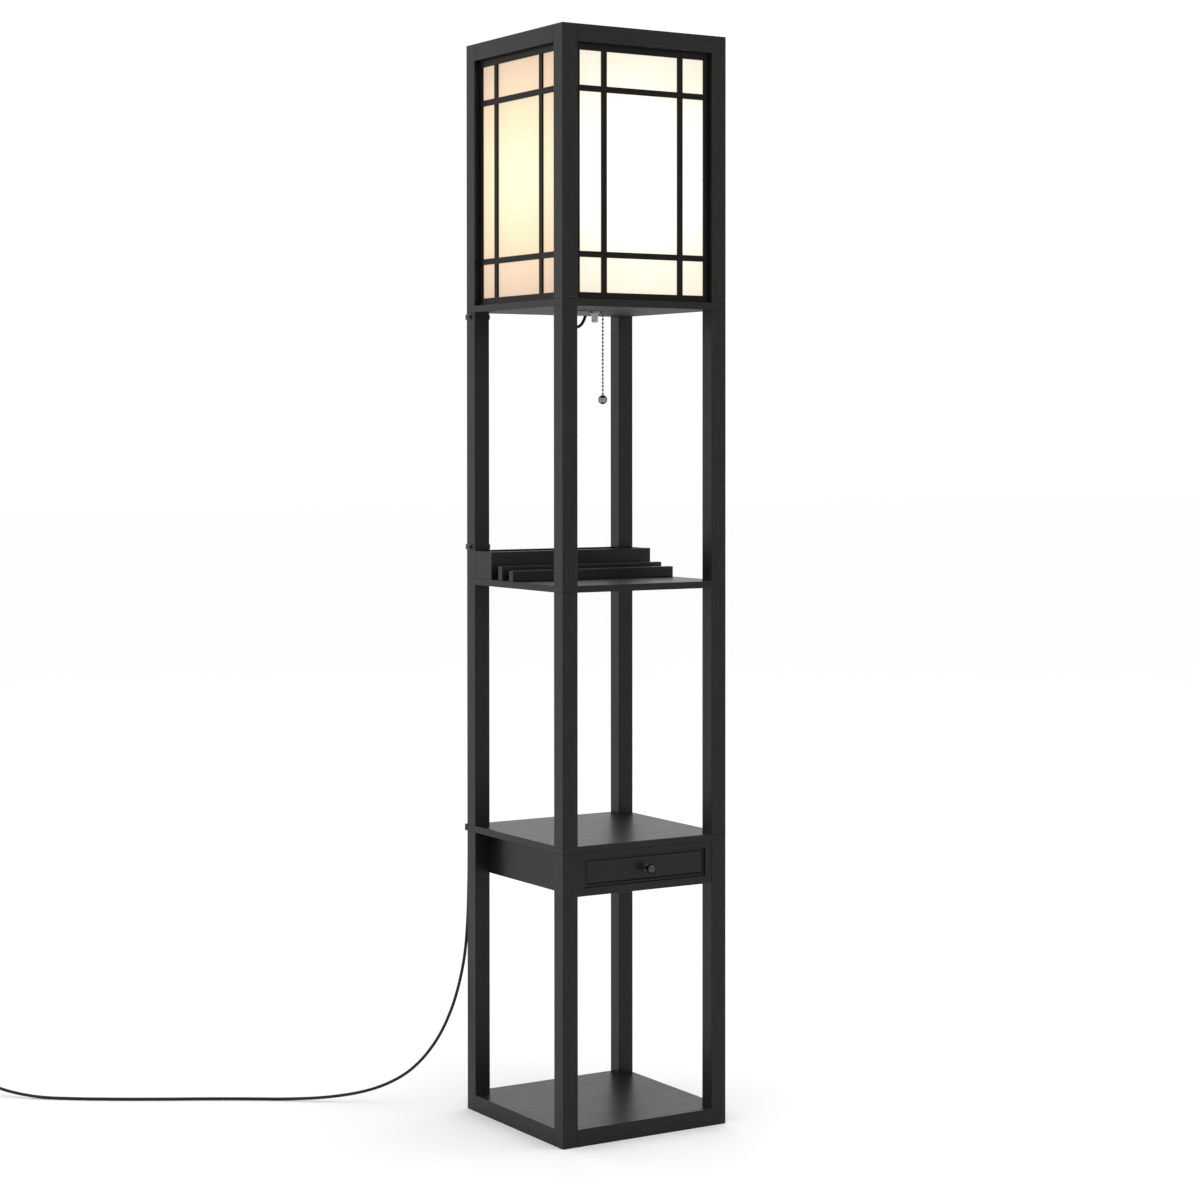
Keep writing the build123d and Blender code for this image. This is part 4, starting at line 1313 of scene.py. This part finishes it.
@dataclass
class Finishes:
    """Every material of the lamp, made once."""

    def __post_init__(self) -> None:
        """Make the materials."""
        self.lacquer_x = SatinBlackLacquer("satin_black_lacquer_sprayed_grain_x", Grain.ALONG_X).make()
        self.lacquer_y = SatinBlackLacquer("satin_black_lacquer_sprayed_grain_y", Grain.ALONG_Y).make()
        self.lacquer_z = SatinBlackLacquer("satin_black_lacquer_sprayed_grain_z", Grain.ALONG_Z).make()
        self.lattice = SatinBlackLacquer(
            "satin_black_lacquer_lattice",
            Grain.ALONG_Z,
            body_colour="100f0e",
            pore_colour="191714",
            specular_level=0.09,
        ).make()
        self.lacquer_round = SatinBlackLacquer(
            "satin_black_lacquer_sprayed_grain_round", Grain.ROUND_THE_SQUARE
        ).make()
        stain = {
            "body_colour": "1d1b1a", "pore_colour": "35302c", "roughness_low": 0.55, "roughness_high": 0.7
        }
        self.stain_x = SatinBlackLacquer("birch_plywood_stained_grain_x", Grain.ALONG_X, **stain).make()
        self.stain_y = SatinBlackLacquer("birch_plywood_stained_grain_y", Grain.ALONG_Y, **stain).make()
        self.paper = LitPaperFilm().make()
        self.bulb_glass = FrostedBulbGlass().make()
        self.beech = PlainBeech().make()
        self.zinc = PlatedSteel("steel_zinc_plated", "9C9E9F", 0.34).make()
        self.pale_zinc = PlatedSteel("steel_zinc_plated_pale", "C9CACA", 0.42).make()
        # The nickel and the gunmetal get a dark rim colour: a painted dark reflection round the edges of the
        # pull and the knob.
        self.nickel = PlatedSteel("steel_nickel_plated_dull", "8B8B8C", 0.20, rim_colour="2A2A2A").make()
        self.gunmetal = PlatedSteel("zinc_casting_gunmetal", "46464A", 0.24, rim_colour="303030").make()
        self.black_screw = PlatedSteel("steel_black_oxide", "2A2A2B", 0.38).make()
        self.brass = PlatedSteel("brass_stamped", "C8AE76", 0.28).make()
        self.phenolic = Moulded("phenolic_moulded", "141312", 0.28, bump=0.05).make()
        self.nylon = Moulded("nylon_moulded", "161616", 0.48).make()
        self.rubber = Moulded("rubber_moulded", "121212", 0.62).make()
        self.grey_plastic = Moulded("nylon_moulded_grey", "8E8D8A", 0.5).make()
        self.plug_vinyl = Moulded("vinyl_moulded_on_plug", "131313", 0.42, bump=0.18).make()
        self.jacket = Moulded(
            "vinyl_extruded_cord_jacket", "0B0B0B", 0.40, cell_mm=1.6, bump=0.06, specular_level=0.3
        ).make()


@dataclass
class Studio:
    """The plain white studio: floor, sky, soft lights and the camera of the photograph."""

    floor_size: float = 60.0
    camera_place: Point = (-2.1031, -3.4048, 1.0143)
    camera_yaw: float = math.radians(31.814)
    camera_pitch: float = math.radians(-0.93)
    camera_roll: float = math.radians(0.027)
    lens_mm: float = 80.7
    shift_y: float = -0.0999
    world_strength: float = 1.04

    def build(self) -> None:
        """Make the floor, the sky, the lights and the camera."""
        self._floor()
        self._sky()
        self._lights()
        self._camera()
        bpy.context.scene.view_settings.view_transform = "Standard"

    def _floor(self) -> None:
        """Lay a plain pale floor."""
        shape = bmesh.new()
        bmesh.ops.create_grid(shape, x_segments=1, y_segments=1, size=self.floor_size / 2)
        mesh = bpy.data.meshes.new("studio_floor")
        shape.to_mesh(mesh)
        shape.free()
        mesh.materials.append(MattStudioPaint().make())
        floor = bpy.data.objects.new("studio_floor", mesh)
        bpy.context.scene.collection.objects.link(floor)

    def _sky(self) -> None:
        """Light the studio evenly from all round."""
        world = bpy.data.worlds.new("studio_world")
        world.use_nodes = True
        background = world.node_tree.nodes["Background"]
        background.inputs["Color"].default_value = linear("FFFFFF")
        background.inputs["Strength"].default_value = self.world_strength
        bpy.context.scene.world = world

    def _lights(self) -> None:
        """Hang the soft boxes."""
        self._soft_box("key_top", (0.4, -0.6, 4.2), (0.0, 0.0, 0.6), 3.2, 36.0)
        self._soft_box("strip_left", (-3.4, 4.2, 1.3), (0.0, 0.0, 0.9), 2.6, 7.0)

    def _soft_box(self, name: str, place: Point, target: Point, size: float, power: float) -> None:
        """Hang one square soft box.

        Args:
            name: The light's name.
            place: Where it hangs.
            target: The point it faces.
            size: The length of its side.
            power: Its power in watts.
        """
        data = bpy.data.lights.new(name, "AREA")
        data.shape = "SQUARE"
        data.size = size
        data.energy = power
        light = bpy.data.objects.new(name, data)
        light.location = place
        way = Vector(target) - Vector(place)
        light.rotation_euler = way.to_track_quat("-Z", "Y").to_euler()
        bpy.context.scene.collection.objects.link(light)

    def _camera(self) -> None:
        """Stand the camera where the photograph was taken from."""
        data = bpy.data.cameras.new("camera")
        data.sensor_width = 36.0
        data.lens = self.lens_mm
        data.shift_y = self.shift_y
        data.clip_end = 100.0
        camera = bpy.data.objects.new("camera", data)
        camera.location = self.camera_place
        turn = Matrix.Rotation(-self.camera_yaw, 4, "Z")
        turn @= Matrix.Rotation(self.camera_roll, 4, "Y")
        turn @= Matrix.Rotation(math.pi / 2 + self.camera_pitch, 4, "X")
        camera.rotation_euler = turn.to_euler()
        bpy.context.scene.collection.objects.link(camera)
        bpy.context.scene.camera = camera


def main() -> None:
    """Build the scene."""
    logging.basicConfig(level=logging.INFO, format="%(name)s: %(message)s")
    Studio().build()
    finishes = Finishes()
    parts = (Tower(), DrawerUnit(), Organiser(), Lantern(), PullSwitch(), ClipScrews(), MainsLead())
    for part in parts:
        for material, names in part.looks(finishes):
            dress(names, material)
        part.build(finishes)
        LOG.info("finished %s", type(part).__name__)


if __name__ == "__main__":
    main()
